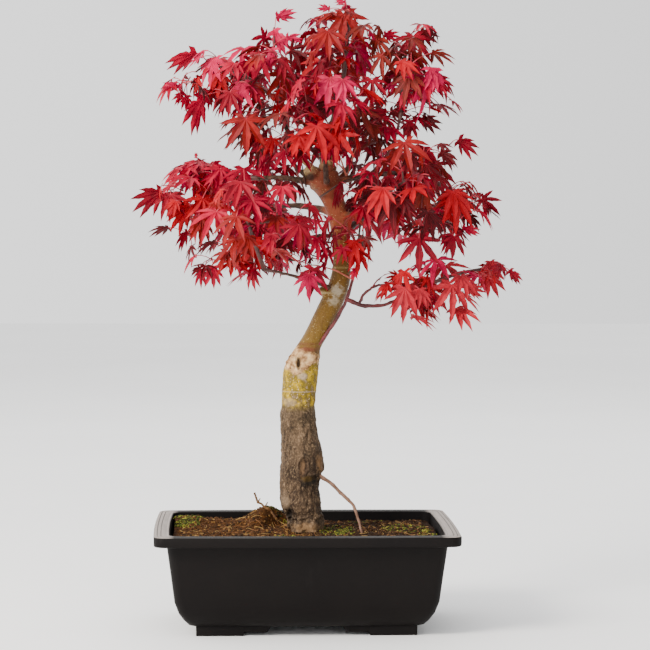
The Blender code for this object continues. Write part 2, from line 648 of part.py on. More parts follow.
def leaf_outline():
    """Angle and length of the leaf's ten outline points, anticlockwise from its middle lobe."""
    right = [(math.radians(a), r) for a, r in LEAF_OUTLINE]
    left = [(-a, r) for a, r in right[:0:-1]]
    return right + [(math.pi, LEAF_NOTCH)] + left


def leaf_points(hub, forward, up, length):
    """The leaf's outline, drooping away from its hub, then its upper and lower middle."""
    side = np.cross(up, forward)
    points = []
    for angle, reach in leaf_outline():
        flat = forward * math.cos(angle) + side * math.sin(angle)
        points.append(hub + length * (reach * flat - LEAF_DROOP * reach ** 2 * up))
    middle = up * LEAF_THICKNESS / 2
    return np.array(points + [hub + middle, hub - middle])


def stem_line(line, radii):
    """A mass's stem: it goes on from its limb's tip, a gap away."""
    heading = unit(line[-1] - line[-2])
    start = line[-1] + heading * GAP
    return [start, start + heading * STEM_LENGTH], [radii[-1] * 0.9, radii[-1] * 0.8]


def sample_hubs(room, count, rng):
    """Places for leaves, spread evenly through the room."""
    hubs = []
    while len(hubs) < count:
        best, best_gap = None, -1.0
        for _ in range(HUB_CANDIDATES):
            spot = room["centre"] + room["radii"] * np.array([rng.uniform(-1, 1) for _ in range(3)])
            if not in_room(room, spot, HUB_ROOM):
                continue
            gap = min([float(np.linalg.norm(spot - hub)) for hub in hubs], default=1.0)
            if gap > best_gap:
                best, best_gap = spot, gap
        if best is not None:
            hubs.append(best)
    return hubs


def find_join(twigs, hub, segments):
    """Where a twig to this hub leaves the twigs there are: near the hub, and near the stem."""
    best, best_cost = None, 1e9
    for index, twig in enumerate(twigs):
        along = twig["end"] - twig["start"]
        low = 0.6 if index == 0 else 0.2
        share = float(np.clip((hub - twig["start"]) @ along / (along @ along), low, 0.92))
        join = twig["start"] + along * share
        cost = float(np.linalg.norm(hub - join)) + ROOT_WEIGHT * (twig["path"] + share * twig["length"])
        if cost >= best_cost:
            continue
        samples = join + np.linspace(0, 1, 8)[:, None] * (hub - join)
        if limb_distance(segments, samples) < LIMB_CLEARANCE:
            continue
        best, best_cost = (index, share, join), cost
    return best


def spread_of(points):
    """Points along a leaf's ribs, from its outline points and its upper and lower middle."""
    hub = (points[10] + points[11]) / 2
    return np.concatenate([hub + share * (points[:10] - hub) for share in (0.35, 0.7, 1.0)] + [hub[None]])


def least_gap(points, others):
    """The least distance between two sets of points."""
    if not len(others):
        return 1.0
    return float(np.linalg.norm(points[:, None, :] - np.concatenate(others)[None], axis=2).min())


def place_leaf(room, hub, join, segments, taken, rng):
    """A leaf at this hub that stays in the room and off the limbs and the leaves there are, or None."""
    direction = unit(hub - join)
    stalk = hub - np.linspace(*STALK_CHECK, 9)[:, None] * direction
    for attempt in range(LEAF_TRIES):
        ease = attempt / (LEAF_TRIES - 1)
        turn = math.radians(rng.uniform(-1, 1) * (LEAF_TURN[0] + (LEAF_TURN[1] - LEAF_TURN[0]) * ease))
        c, s = math.cos(turn), math.sin(turn)
        heading = np.array((direction[0] * c - direction[1] * s, direction[0] * s + direction[1] * c, 0.0))
        forward, up = leaf_frame(heading, rng.uniform(*LEAF_HANG), rng.uniform(-LEAF_ROLL, LEAF_ROLL))
        length = LEAF_LENGTHS[0] + (LEAF_LENGTHS[1] - LEAF_LENGTHS[0]) * (0.6 * ease + 0.4 * rng.random())
        points = leaf_points(hub, forward, up, length)
        if not in_room(room, points):
            continue
        spread = spread_of(points)
        if limb_distance(segments, spread) < LIMB_CLEARANCE or least_gap(spread, taken) < LEAF_CLEARANCE:
            continue
        if least_gap(stalk, [spread[:30]]) < STALK_CLEARANCE:
            continue
        return {"hub": hub, "forward": forward, "up": up, "length": length, "spread": spread, "notch": points[5]}
    return None


def grow_mass(name, room, lines, stems):
    """The mass's twigs and leaves. Each leaf's twig leaves the twigs grown before it."""
    _, _, _, count, reaches = MASSES[name]
    rng = random.Random(SEEDS[name])
    own, others = stems[name], {k: v for k, v in stems.items() if k != name}
    segments = limb_segments(lines, others)
    (start, end), _ = own
    twigs = [{"start": start, "end": end, "parent": None, "share": 0.0, "path": 0.0,
              "length": STEM_LENGTH, "load": 1}]
    leaves = []
    hubs = sample_hubs(room, round(count * HUB_SPARE), rng)
    hubs.sort(key=lambda hub: float(np.linalg.norm(hub - end)))
    for hub in [place(reach) for reach in reaches] + hubs:
        if len(leaves) == count:
            break
        join = find_join(twigs, hub, segments)
        if join is None:
            continue
        index, share, point = join
        leaf = place_leaf(room, hub, point, segments, [known["spread"] for known in leaves], rng)
        if leaf is None or not in_room(room, hub):
            continue
        leaves.append(leaf)
        length = float(np.linalg.norm(leaf["notch"] - point))
        path = twigs[index]["path"] + share * twigs[index]["length"]
        twigs.append({"start": point, "end": leaf["notch"], "parent": index, "share": share, "path": path,
                      "length": length, "load": 1})
        while index is not None:
            twigs[index]["load"] += 1
            index = twigs[index]["parent"]
    return twigs, leaves


def twig_radius(load):
    return TWIG_TIP_RADIUS * load ** TWIG_GROWTH


def triangle_round(centre, forward, up, heading, radius):
    """Three points round a twig's axis, turned with it as it bends from the leaf's notch to its heading."""
    side = np.cross(up, forward)
    turn = Vector(-forward).rotation_difference(Vector(heading)).to_matrix()
    corners = (up, 0.866 * side - 0.5 * up, -0.866 * side - 0.5 * up)
    return [Vector(centre) + radius * (turn @ Vector(corner)) for corner in corners]


def add_stem(line, radii, collection, material):
    """A mass's three-sided stem."""
    heading = Vector(line[1] - line[0])
    where = Matrix.Translation(Vector((line[0] + line[1]) / 2)) @ heading.to_track_quat("Z", "X").to_matrix().to_4x4()
    builder = bmesh.new()
    bmesh.ops.create_cone(builder, cap_ends=True, segments=3, radius1=radii[0], radius2=radii[1],
                          depth=heading.length, matrix=where)
    return add_object("stem", builder, collection, material)


def add_leafy_twig(twig, leaf, collection, material):
    """A lobed leaf and the three-sided twig that carries it, in one skin: a loft between unlike
    sections, which runs from the leaf's open notch to the twig's foot inside the twig before it."""
    points = leaf_points(leaf["hub"], leaf["forward"], leaf["up"], leaf["length"])
    heading = unit(twig["start"] - twig["end"])
    near = triangle_round(twig["end"], leaf["forward"], leaf["up"], heading, TWIG_TIP_RADIUS)
    foot = triangle_round(twig["start"], leaf["forward"], leaf["up"], heading, twig_radius(twig["load"]))
    builder = bmesh.new()
    rim = [builder.verts.new(point) for point in points[:10]]
    top, bottom = builder.verts.new(points[10]), builder.verts.new(points[11])
    near = [builder.verts.new(point) for point in near]
    foot = [builder.verts.new(point) for point in foot]
    for i in (0, 1, 2, 3, 6, 7, 8, 9):
        following = rim[(i + 1) % 10]
        builder.faces.new((top, rim[i], following))
        builder.faces.new((bottom, following, rim[i]))
    left, right = rim[4], rim[6]
    for corners in ((top, left, near[0]), (near[0], left, near[1]), (left, bottom, near[1]),
                    (near[1], bottom, near[2]), (bottom, right, near[2]), (near[2], right, near[0]),
                    (right, top, near[0])):
        builder.faces.new(corners)
    for i in range(3):
        j = (i + 1) % 3
        builder.faces.new((near[i], near[j], foot[j], foot[i]))
    builder.faces.new(foot)
    builder.verts.remove(rim[5])
    bmesh.ops.recalc_face_normals(builder, faces=builder.faces[:])
    if builder.calc_volume(signed=True) < 0:
        bmesh.ops.reverse_faces(builder, faces=builder.faces[:])
    return add_object("leafy_twig", builder, collection, material)


def build_mass(name, stem, twigs, leaves, collection, material):
    """Joins a mass's twigs and leaves into one body."""
    pieces = new_collection(name + "_pieces")
    mass = add_stem(*stem, collection, material)
    mass.name = name
    mass.data.name = name
    for twig, leaf in zip(twigs[1:], leaves):
        add_leafy_twig(twig, leaf, pieces, material)
    apply_boolean(mass, "UNION", pieces, "MANIFOLD")
    for obj in list(pieces.objects):
        remove_object(obj)
    bpy.data.collections.remove(pieces)
    keep_main_body(mass)
    return mass


# ---------------------------------------------------------------- the whole tree

def main():
    empty_scene()
    collection = new_collection(OBJECT_NAME)
    cutters = new_collection("cutters")
    materials = {name: make_material(name) for name in MATERIALS}
    build_pot(collection, cutters, materials["pot_plastic"])
    soil = build_soil(collection, materials["soil"])
    lines = limb_lines()
    build_limbs(lines, soil, collection, cutters, materials)
    rooms = make_rooms()
    stems = {name: stem_line(*lines[MASSES[name][0]]) for name in MASSES}
    for name, room in rooms.items():
        twigs, leaves = grow_mass(name, room, lines, stems)
        build_mass(name, stems[name], twigs, leaves, collection, materials["leaf"])


main()
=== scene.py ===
"""Looks of the red-leaved maple bonsai and its training pot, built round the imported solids."""
import json
import math
import random

import bpy
import numpy as np
from mathutils import Matrix, Vector, noise

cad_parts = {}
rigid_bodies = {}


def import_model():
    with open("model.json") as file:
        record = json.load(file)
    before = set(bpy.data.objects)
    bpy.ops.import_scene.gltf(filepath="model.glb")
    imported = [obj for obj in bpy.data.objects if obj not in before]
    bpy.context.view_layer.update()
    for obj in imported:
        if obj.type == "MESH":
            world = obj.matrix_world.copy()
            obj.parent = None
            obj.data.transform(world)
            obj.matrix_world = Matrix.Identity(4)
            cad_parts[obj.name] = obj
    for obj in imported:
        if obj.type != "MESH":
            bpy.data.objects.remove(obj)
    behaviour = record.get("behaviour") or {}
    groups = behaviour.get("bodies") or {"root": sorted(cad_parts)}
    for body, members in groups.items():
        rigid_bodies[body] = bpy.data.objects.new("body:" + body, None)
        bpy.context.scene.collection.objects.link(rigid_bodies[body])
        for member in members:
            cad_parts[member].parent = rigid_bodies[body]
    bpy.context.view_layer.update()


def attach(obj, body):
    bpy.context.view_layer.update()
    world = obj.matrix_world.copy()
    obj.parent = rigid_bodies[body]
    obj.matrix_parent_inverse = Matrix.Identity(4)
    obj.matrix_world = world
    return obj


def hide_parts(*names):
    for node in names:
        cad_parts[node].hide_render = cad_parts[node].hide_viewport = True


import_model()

# ------------ the tree's own sizes, in metres

# The gap between two solids that meet.
GAP = 0.0003
POT_LENGTH = 0.27
POT_WIDTH = 0.2
# The pot's middle along x, where 0 is the middle of the whole tree.
POT_X = -0.019
SOIL_LEVEL = 0.0842

# The trunk's centre line and diameter: x, y, z, diameter, from the pot's centre.
TRUNK = ((0.0026, 0.013, 0.0845, 0.03), (0.0022, 0.013, 0.094, 0.0306), (-0.0026, 0.013, 0.106, 0.0366),
         (-0.0044, 0.0135, 0.122, 0.0358), (-0.0036, 0.014, 0.137, 0.0373), (-0.0024, 0.0145, 0.154, 0.038),
         (-0.0046, 0.015, 0.174, 0.0342), (-0.0061, 0.015, 0.19, 0.0326), (-0.0054, 0.015, 0.206, 0.03),
         (-0.0038, 0.015, 0.23, 0.0316), (-0.0014, 0.015, 0.242, 0.028), (0.0032, 0.0148, 0.255, 0.0205),
         (0.0114, 0.0145, 0.269, 0.0198), (0.0236, 0.0135, 0.296, 0.019), (0.032, 0.0125, 0.318, 0.0169),
         (0.0338, 0.0115, 0.337, 0.0147), (0.033, 0.011, 0.358, 0.016), (0.0313, 0.0105, 0.377, 0.0203),
         (0.0252, 0.01, 0.391, 0.0208), (0.0204, 0.01, 0.403, 0.0275), (0.0175, 0.01, 0.417, 0.0235))
TRUNK_STEP = 0.0135
# Swellings of the trunk, from the pot's centre: foot, tip, radius at the foot and at the tip.
TRUNK_SWELLINGS = (((0.002, 0.016, 0.112), (0.021, 0.024, 0.083), 0.013, 0.004),
                   ((-0.003, 0.016, 0.116), (-0.011, 0.034, 0.083), 0.013, 0.004),
                   ((0.002, 0.01, 0.106), (0.015, -0.004, 0.083), 0.011, 0.0036),
                   ((0.016, 0.01, 0.404), (0.002, 0.002, 0.419), 0.0095, 0.0068),
                   ((0.018, 0.01, 0.406), (0.021, 0.009, 0.427), 0.01, 0.0062),
                   ((0.024, 0.013, 0.306), (0.013, 0.01, 0.3075), 0.006, 0.0034),
                   ((0.004, 0.014, 0.147), (0.0165, 0.01, 0.148), 0.011, 0.0085))
# Limbs: what each grows from, where on it (a height on the trunk, a fraction of a bough), its tip,
# how far its middle bends from straight, and its radius at the foot and at the tip.
LIMBS = {
    "side_root": ("trunk", 0.138, (0.0525, -0.008, 0.083), (0.007, 0.006, 0.004), 0.0034, 0.0015),
    "side_shoot": ("trunk", 0.24, (0.044, 0.002, 0.319), (0.007, -0.006, 0.0), 0.0018, 0.0014),
    "leader": ("trunk", 0.408, (0.03, 0.008, 0.479), (-0.003, 0.003, 0.0), 0.0068, 0.003),
    "left_upper_bough": ("trunk", 0.399, (-0.045, 0.004, 0.411), (0.0, -0.003, 0.003), 0.0044, 0.0024),
    "left_high_bough": ("trunk", 0.41, (-0.021, -0.006, 0.468), (-0.009, -0.003, 0.003), 0.004, 0.0022),
    "left_mid_bough": ("trunk", 0.354, (-0.013, 0.006, 0.351), (0.0, -0.002, 0.003), 0.0032, 0.0018),
    "left_low_bough": ("trunk", 0.306, (-0.029, -0.034, 0.326), (0.0, -0.004, 0.002), 0.003, 0.0016),
    "right_bough": ("trunk", 0.404, (0.072, 0.006, 0.415), (0.0, 0.0, 0.003), 0.0046, 0.0026),
    "right_riser": ("right_bough", 0.72, (0.086, 0.0, 0.464), (0.004, 0.0, -0.004), 0.0026, 0.0019),
    "right_low_bough": ("side_shoot", 0.7, (0.084, -0.004, 0.2995), (0.0, 0.0, -0.006), 0.0021, 0.0013),
    "right_low_fork": ("right_low_bough", 0.34, (0.077, -0.008, 0.314), (-0.004, 0.0, 0.005), 0.0014, 0.001),
    "front_bough": ("trunk", 0.401, (0.016, -0.034, 0.433), (0.0, -0.006, -0.006), 0.004, 0.0024),
    "front_right_bough": ("trunk", 0.377, (0.064, -0.044, 0.39), (0.004, -0.006, -0.004), 0.0036, 0.002),
    "left_inner_bough": ("trunk", 0.405, (-0.014, 0.024, 0.432), (-0.004, 0.003, -0.003), 0.0036, 0.002),
    "right_inner_bough": ("trunk", 0.41, (0.046, 0.024, 0.438), (0.004, 0.003, -0.004), 0.0036, 0.002),
    "back_bough": ("trunk", 0.41, (0.015, 0.048, 0.456), (0.0, 0.008, -0.006), 0.0042, 0.0024),
    "back_left_bough": ("trunk", 0.384, (-0.02, 0.052, 0.386), (0.0, 0.004, 0.003), 0.0038, 0.0022),
    "back_right_bough": ("trunk", 0.366, (0.064, 0.052, 0.382), (0.0, 0.006, 0.0), 0.0038, 0.0022),
}
LIMB_STEPS = 4

# Masses of foliage: the limb that carries each, its room's centre and half sizes, its number of leaves,
# the seed that deals them out, and the places that its longest twigs reach.
MASSES = {
    "top_foliage": ("leader", (0.038, 0.002, 0.528), (0.056, 0.06, 0.048), 17, 7, (
        (0.036, -0.02, 0.566), (0.01, 0.01, 0.545), (0.06, -0.026, 0.53), (0.058, 0.016, 0.548))),
    "upper_left_foliage": ("left_high_bough", (-0.062, 0.0, 0.487), (0.08, 0.066, 0.05), 20, 23, (
        (-0.098, 0.02, 0.517), (-0.112, -0.02, 0.492), (-0.03, 0.0, 0.531), (-0.055, -0.05, 0.461))),
    "upper_right_foliage": ("right_riser", (0.1, -0.004, 0.502), (0.058, 0.06, 0.056), 19, 25, (
        (0.098, 0.0, 0.545), (0.082, -0.026, 0.528), (0.107, -0.034, 0.502), (0.12, 0.012, 0.508),
        (0.096, -0.012, 0.468))),
    "centre_foliage": ("front_bough", (0.01, -0.06, 0.454), (0.066, 0.054, 0.05), 17, 38, (
        (-0.026, -0.082, 0.466), (0.024, -0.096, 0.446))),
    "inner_left_foliage": ("left_inner_bough", (-0.034, 0.02, 0.438), (0.05, 0.048, 0.042), 8, 23, (
        (-0.04, 0.004, 0.44),)),
    "inner_right_foliage": ("right_inner_bough", (0.066, 0.01, 0.446), (0.05, 0.05, 0.044), 10, 14, (
        (0.072, -0.01, 0.458),)),
    "mid_left_foliage": ("left_upper_bough", (-0.092, -0.002, 0.388), (0.074, 0.06, 0.043), 17, 29, (
        (-0.13, -0.01, 0.396), (-0.108, -0.03, 0.385), (-0.096, 0.01, 0.421))),
    "mid_right_foliage": ("right_bough", (0.118, 0.0, 0.386), (0.07, 0.062, 0.058), 19, 11, (
        (0.158, 0.0, 0.39), (0.133, 0.0, 0.44), (0.132, -0.04, 0.399), (0.141, -0.02, 0.371))),
    "shoot_foliage": ("side_shoot", (0.05, -0.014, 0.364), (0.036, 0.046, 0.052), 8, 5, (
        (0.043, -0.03, 0.346), (0.056, -0.02, 0.392))),
    "low_left_foliage": ("left_mid_bough", (-0.056, 0.004, 0.35), (0.072, 0.056, 0.05), 17, 23, (
        (-0.103, 0.0, 0.359), (-0.092, -0.004, 0.333), (-0.046, -0.012, 0.333), (-0.008, -0.016, 0.374))),
    "low_right_foliage": ("right_low_bough", (0.136, -0.002, 0.306), (0.078, 0.056, 0.044), 18, 15, (
        (0.184, -0.01, 0.327), (0.164, 0.006, 0.328), (0.134, -0.03, 0.316), (0.092, -0.028, 0.312))),
    "front_left_foliage": ("left_low_bough", (-0.052, -0.08, 0.374), (0.066, 0.052, 0.06), 16, 37, (
        (0.004, -0.034, 0.33), (-0.06, -0.096, 0.406), (-0.066, -0.072, 0.336))),
    "front_right_foliage": ("front_right_bough", (0.084, -0.082, 0.4), (0.06, 0.052, 0.056), 16, 6, (
        (0.098, -0.056, 0.358), (0.096, -0.096, 0.414))),
    "back_high_foliage": ("back_bough", (0.014, 0.084, 0.49), (0.074, 0.052, 0.052), 15, 7, (
        (0.01, 0.1, 0.512), (-0.036, 0.09, 0.484))),
    "back_left_foliage": ("back_left_bough", (-0.06, 0.084, 0.386), (0.066, 0.052, 0.058), 15, 6, (
        (-0.066, 0.102, 0.408), (-0.096, 0.07, 0.38))),
    "back_right_foliage": ("back_right_bough", (0.09, 0.084, 0.39), (0.066, 0.052, 0.058), 15, 32, (
        (0.09, 0.102, 0.412), (0.126, 0.07, 0.384))),
}
# How square a mass's room is, how far it stays from the next, and how close its twigs and leaves come
# to the limbs and to each other.
ROOM_POWER = 2.5
ROOM_MARGIN = 0.0004
STEM_LENGTH = 0.012
LIMB_CLEARANCE = 0.003
LEAF_CLEARANCE = 0.0042
STALK_CLEARANCE = 0.003
# How leaves and twigs are tried: how much a long way to the stem counts against a join, how many places
# are drawn, how much of the room they fill, and how far a leaf may turn, roll and hang.
ROOT_WEIGHT = 0.35
HUB_CANDIDATES = 14
HUB_SPARE = 2.6
HUB_ROOM = 0.92
LEAF_TRIES = 30
LEAF_TURN = (20.0, 130.0)
LEAF_ROLL = 25.0
STALK_CHECK = (0.008, 0.04)
LEAF_LENGTHS = (0.035, 0.0225)
LEAF_THICKNESS = 0.0019
LEAF_DROOP = 0.3
LEAF_HANG = (12.0, 72.0)
# One side of a leaf's outline: degrees from its middle lobe, and fraction of that lobe's length.
LEAF_OUTLINE = ((0, 1.0), (19, 0.36), (38, 0.93), (59, 0.33), (82, 0.7))
LEAF_NOTCH = 0.1

# Companions, which are leaves beyond those of the solids: how many each twig's node bears, the length of
# the stalk and of the leaf, how they turn, hang and roll, and how close they may come to others.
COMPANIONS = (1, 1, 2, 3)
COMPANION_TRIES = 14
PETIOLE = (0.011, 0.021)
YOUNG_LEAF = (0.017, 0.029)
COMPANION_TURN = (35, 110)
COMPANION_HANG = (10, 75)
COMPANION_ROLL = 30
FINE_LIMB_CLEARANCE = 0.0012
FINE_LEAF_CLEARANCE = 0.0017

# The camera, from the pot's centre: it looks a little down and to the right.
CAMERA_PLACE = (-0.0722, -2.1207, 0.3756)
CAMERA_YAW = 0.0426
CAMERA_PITCH = 0.0468
CAMERA_ROLL = 0.0027
CAMERA_LENS = 127.97


def add_camera():
    forward = Vector((math.sin(CAMERA_YAW) * math.cos(CAMERA_PITCH),
                      math.cos(CAMERA_YAW) * math.cos(CAMERA_PITCH), -math.sin(CAMERA_PITCH)))
    right = Vector((math.cos(CAMERA_YAW), -math.sin(CAMERA_YAW), 0.0))
    up = right.cross(forward)
    c, s = math.cos(CAMERA_ROLL), math.sin(CAMERA_ROLL)
    axes = Matrix((right * c + up * s, up * c - right * s, -forward)).transposed()
    data = bpy.data.cameras.new("camera")
    data.lens = CAMERA_LENS
    camera = bpy.data.objects.new("camera", data)
    bpy.context.scene.collection.objects.link(camera)
    camera.matrix_world = Matrix.Translation(Vector(CAMERA_PLACE) + Vector((POT_X, 0.0, 0.0))) @ axes.to_4x4()
    bpy.context.scene.camera = camera


add_camera()


# ------------ the growth rule, as in the solids

def unit(vector):
    return vector / np.linalg.norm(vector)


def place(point):
    """A point given from the pot's centre, in the tree's frame."""
    return np.array((POT_X + point[0], point[1], point[2]))


def smooth_line(stations, step):
    """A smooth curve through stations of any width, with a point about every step of length."""
    stations = [np.array(s, float) for s in stations]
    ends = [2 * stations[0] - stations[1], *stations, 2 * stations[-1] - stations[-2]]
    line = []
    for before, start, end, after in zip(ends, ends[1:], ends[2:], ends[3:]):
        pieces = max(1, round(float(np.linalg.norm((end - start)[:3])) / step))
        for i in range(pieces):
            t = i / pieces
            line.append(0.5 * (2 * start + (end - before) * t + (2 * before - 5 * start + 4 * end - after) * t ** 2
                               + (3 * start - before - 3 * end + after) * t ** 3))
    line.append(stations[-1])
    return line


def trunk_line():
    """The trunk's points and radii."""
    line = smooth_line(TRUNK, TRUNK_STEP)
    return [place(p) for p in line], [p[3] / 2 for p in line]


def limb_lines():
    """Each limb's points and radii: a bent line from its parent's axis to its tip."""
    lines = {"trunk": trunk_line()}
    for name, (parent, where, tip, bend, foot_radius, tip_radius) in LIMBS.items():
        points, _ = lines[parent]
        if parent == "trunk":
            foot = min(points, key=lambda p: abs(p[2] - where))
        else:
            foot = points[round(where * (len(points) - 1))]
        tip = place(tip)
        middle = (foot + tip) / 2 + np.array(bend)
        control = 2 * middle - (foot + tip) / 2
        steps = [i / LIMB_STEPS for i in range(LIMB_STEPS + 1)]
        line = [(1 - t) ** 2 * foot + 2 * t * (1 - t) * control + t * t * tip for t in steps]
        lines[name] = (line, [foot_radius + (tip_radius - foot_radius) * t for t in steps])
    return lines


def make_rooms():
    """Each mass's room: centre, half sizes and the planes that part it from the other masses."""
    rooms = {}
    for name, (_, centre, radii, *_) in MASSES.items():
        rooms[name] = {"centre": place(centre), "radii": np.array(radii), "planes": []}
    for name, room in rooms.items():
        for other_name, other in rooms.items():
            if other_name == name:
                continue
            across = other["centre"] - room["centre"]
            distance = np.linalg.norm(across)
            normal = across / distance
            own = np.linalg.norm(normal * room["radii"])
            theirs = np.linalg.norm(normal * other["radii"])
            border = distance * own / (own + theirs)
            room["planes"].append((normal, float(normal @ room["centre"]) + border))
    return rooms


def in_room(room, points, scale=1.0):
    """Whether all points lie in the room, shrunk by scale about its centre, and clear of its planes."""
    points = np.atleast_2d(points)
    ratio = np.abs((points - room["centre"]) / (room["radii"] * scale)) ** ROOM_POWER
    if (ratio.sum(axis=1) > 1.0).any():
        return False
    return all((points @ normal).max() <= offset - ROOM_MARGIN for normal, offset in room["planes"])


def limb_segments(lines, stems):
    """All limbs and stems as tapered segments: starts, ends, and radii at both."""
    starts, ends, start_radii, end_radii = [], [], [], []
    for points, radii in list(lines.values()) + list(stems.values()):
        starts += points[:-1]
        ends += points[1:]
        start_radii += radii[:-1]
        end_radii += radii[1:]
    for foot, tip, foot_radius, tip_radius in TRUNK_SWELLINGS:
        starts.append(place(foot))
        ends.append(place(tip))
        start_radii.append(foot_radius)
        end_radii.append(tip_radius)
    return np.array(starts), np.array(ends), np.array(start_radii), np.array(end_radii)


def limb_distance(segments, points):
    """The least distance from any of the points to a limb's surface."""
    starts, ends, start_radii, end_radii = segments
    along = ends - starts
    points = np.atleast_2d(points)[:, None, :]
    share = np.clip(((points - starts) * along).sum(axis=2) / (along * along).sum(axis=1), 0.0, 1.0)
    nearest = starts + share[..., None] * along
    gaps = np.linalg.norm(points - nearest, axis=2) - (start_radii + (end_radii - start_radii) * share)
    return float(gaps.min())


def turned(direction, angle):
    """The level part of a direction, turned about the upright by an angle."""
    c, s = math.cos(angle), math.sin(angle)
    return np.array((direction[0] * c - direction[1] * s, direction[0] * s + direction[1] * c, 0.0))


def leaf_frame(direction, hang, roll):
    """A leaf's forward and upward directions, hanging by a number of degrees from the twig's heading."""
    flat = unit(np.array((direction[0], direction[1], 0.0)) + 1e-9)
    angle = math.radians(hang)
    forward = flat * math.cos(angle) - np.array((0.0, 0.0, math.sin(angle)))
    up = flat * math.sin(angle) + np.array((0.0, 0.0, math.cos(angle)))
    side = np.cross(up, forward)
    turn = math.radians(roll)
    return forward, up * math.cos(turn) + side * math.sin(turn)


def leaf_outline():
    """Angle and length of the leaf's ten outline points, anticlockwise from its middle lobe."""
    right = [(math.radians(a), r) for a, r in LEAF_OUTLINE]
    left = [(-a, r) for a, r in right[:0:-1]]
    return right + [(math.pi, LEAF_NOTCH)] + left


def leaf_points(hub, forward, up, length):
    """The leaf's outline, drooping away from its hub, then its upper and lower middle."""
    side = np.cross(up, forward)
    points = []
    for angle, reach in leaf_outline():
        flat = forward * math.cos(angle) + side * math.sin(angle)
        points.append(hub + length * (reach * flat - LEAF_DROOP * reach ** 2 * up))
    middle = up * LEAF_THICKNESS / 2
    return np.array(points + [hub + middle, hub - middle])


def stem_line(line, radii):
    """A mass's stem: it goes on from its limb's tip, a gap away."""
    heading = unit(line[-1] - line[-2])
    start = line[-1] + heading * GAP
    return [start, start + heading * STEM_LENGTH], [radii[-1] * 0.9, radii[-1] * 0.8]


def sample_hubs(room, count, rng):
    """Places for leaves, spread evenly through the room."""
    hubs = []
    while len(hubs) < count:
        best, best_gap = None, -1.0
        for _ in range(HUB_CANDIDATES):
            spot = room["centre"] + room["radii"] * np.array([rng.uniform(-1, 1) for _ in range(3)])
            if not in_room(room, spot, HUB_ROOM):
                continue
            gap = min([float(np.linalg.norm(spot - hub)) for hub in hubs], default=1.0)
            if gap > best_gap:
                best, best_gap = spot, gap
        if best is not None:
            hubs.append(best)
    return hubs


def find_join(twigs, hub, segments):
    """Where a twig to this hub leaves the twigs there are: near the hub, and near the stem."""
    best, best_cost = None, 1e9
    for index, twig in enumerate(twigs):
        along = twig["end"] - twig["start"]
        low = 0.6 if index == 0 else 0.2
        share = float(np.clip((hub - twig["start"]) @ along / (along @ along), low, 0.92))
        join = twig["start"] + along * share
        cost = float(np.linalg.norm(hub - join)) + ROOT_WEIGHT * (twig["path"] + share * twig["length"])
        if cost >= best_cost:
            continue
        samples = join + np.linspace(0, 1, 8)[:, None] * (hub - join)
        if limb_distance(segments, samples) < LIMB_CLEARANCE:
            continue
        best, best_cost = (index, share, join), cost
    return best


def spread_of(points):
    """Points along a leaf's ribs, from its outline points and its upper and lower middle."""
    hub = (points[10] + points[11]) / 2
    return np.concatenate([hub + share * (points[:10] - hub) for share in (0.35, 0.7, 1.0)] + [hub[None]])


def least_gap(points, others):
    """The least distance between two sets of points."""
    if not len(others):
        return 1.0
    return float(np.linalg.norm(points[:, None, :] - np.concatenate(others)[None], axis=2).min())


def try_leaf(room, hub, axes, length, segments, taken, limb_gap, leaf_gap):
    """A leaf, or None where it leaves its room or comes too near to a limb or to a leaf that is there."""
    points = leaf_points(hub, *axes, length)
    if not in_room(room, points):
        return None
    spread = spread_of(points)
    if limb_distance(segments, spread) < limb_gap or least_gap(spread, taken) < leaf_gap:
        return None
    return {"hub": hub, "forward": axes[0], "up": axes[1], "length": length, "spread": spread, "notch": points[5]}


def place_leaf(room, hub, join, segments, taken, rng):
    """A leaf at this hub that stays in the room and off the limbs and the leaves there are, or None."""
    direction = unit(hub - join)
    stalk = hub - np.linspace(*STALK_CHECK, 9)[:, None] * direction
    for attempt in range(LEAF_TRIES):
        ease = attempt / (LEAF_TRIES - 1)
        turn = math.radians(rng.uniform(-1, 1) * (LEAF_TURN[0] + (LEAF_TURN[1] - LEAF_TURN[0]) * ease))
        axes = leaf_frame(turned(direction, turn), rng.uniform(*LEAF_HANG), rng.uniform(-LEAF_ROLL, LEAF_ROLL))
        length = LEAF_LENGTHS[0] + (LEAF_LENGTHS[1] - LEAF_LENGTHS[0]) * (0.6 * ease + 0.4 * rng.random())
        leaf = try_leaf(room, hub, axes, length, segments, taken, LIMB_CLEARANCE, LEAF_CLEARANCE)
        if leaf is not None and least_gap(stalk, [leaf["spread"][:30]]) >= STALK_CLEARANCE:
            return leaf
    return None


def grow_twig(twigs, join, end):
    """Adds a twig from where it leaves another, and one to the load of each twig that bears it."""
    parent, share, point = join
    twigs.append({"start": point, "end": end, "parent": parent, "share": share, "load": 1,
                  "path": twigs[parent]["path"] + share * twigs[parent]["length"],
                  "length": float(np.linalg.norm(end - point))})
    while parent is not None:
        twigs[parent]["load"] += 1
        parent = twigs[parent]["parent"]


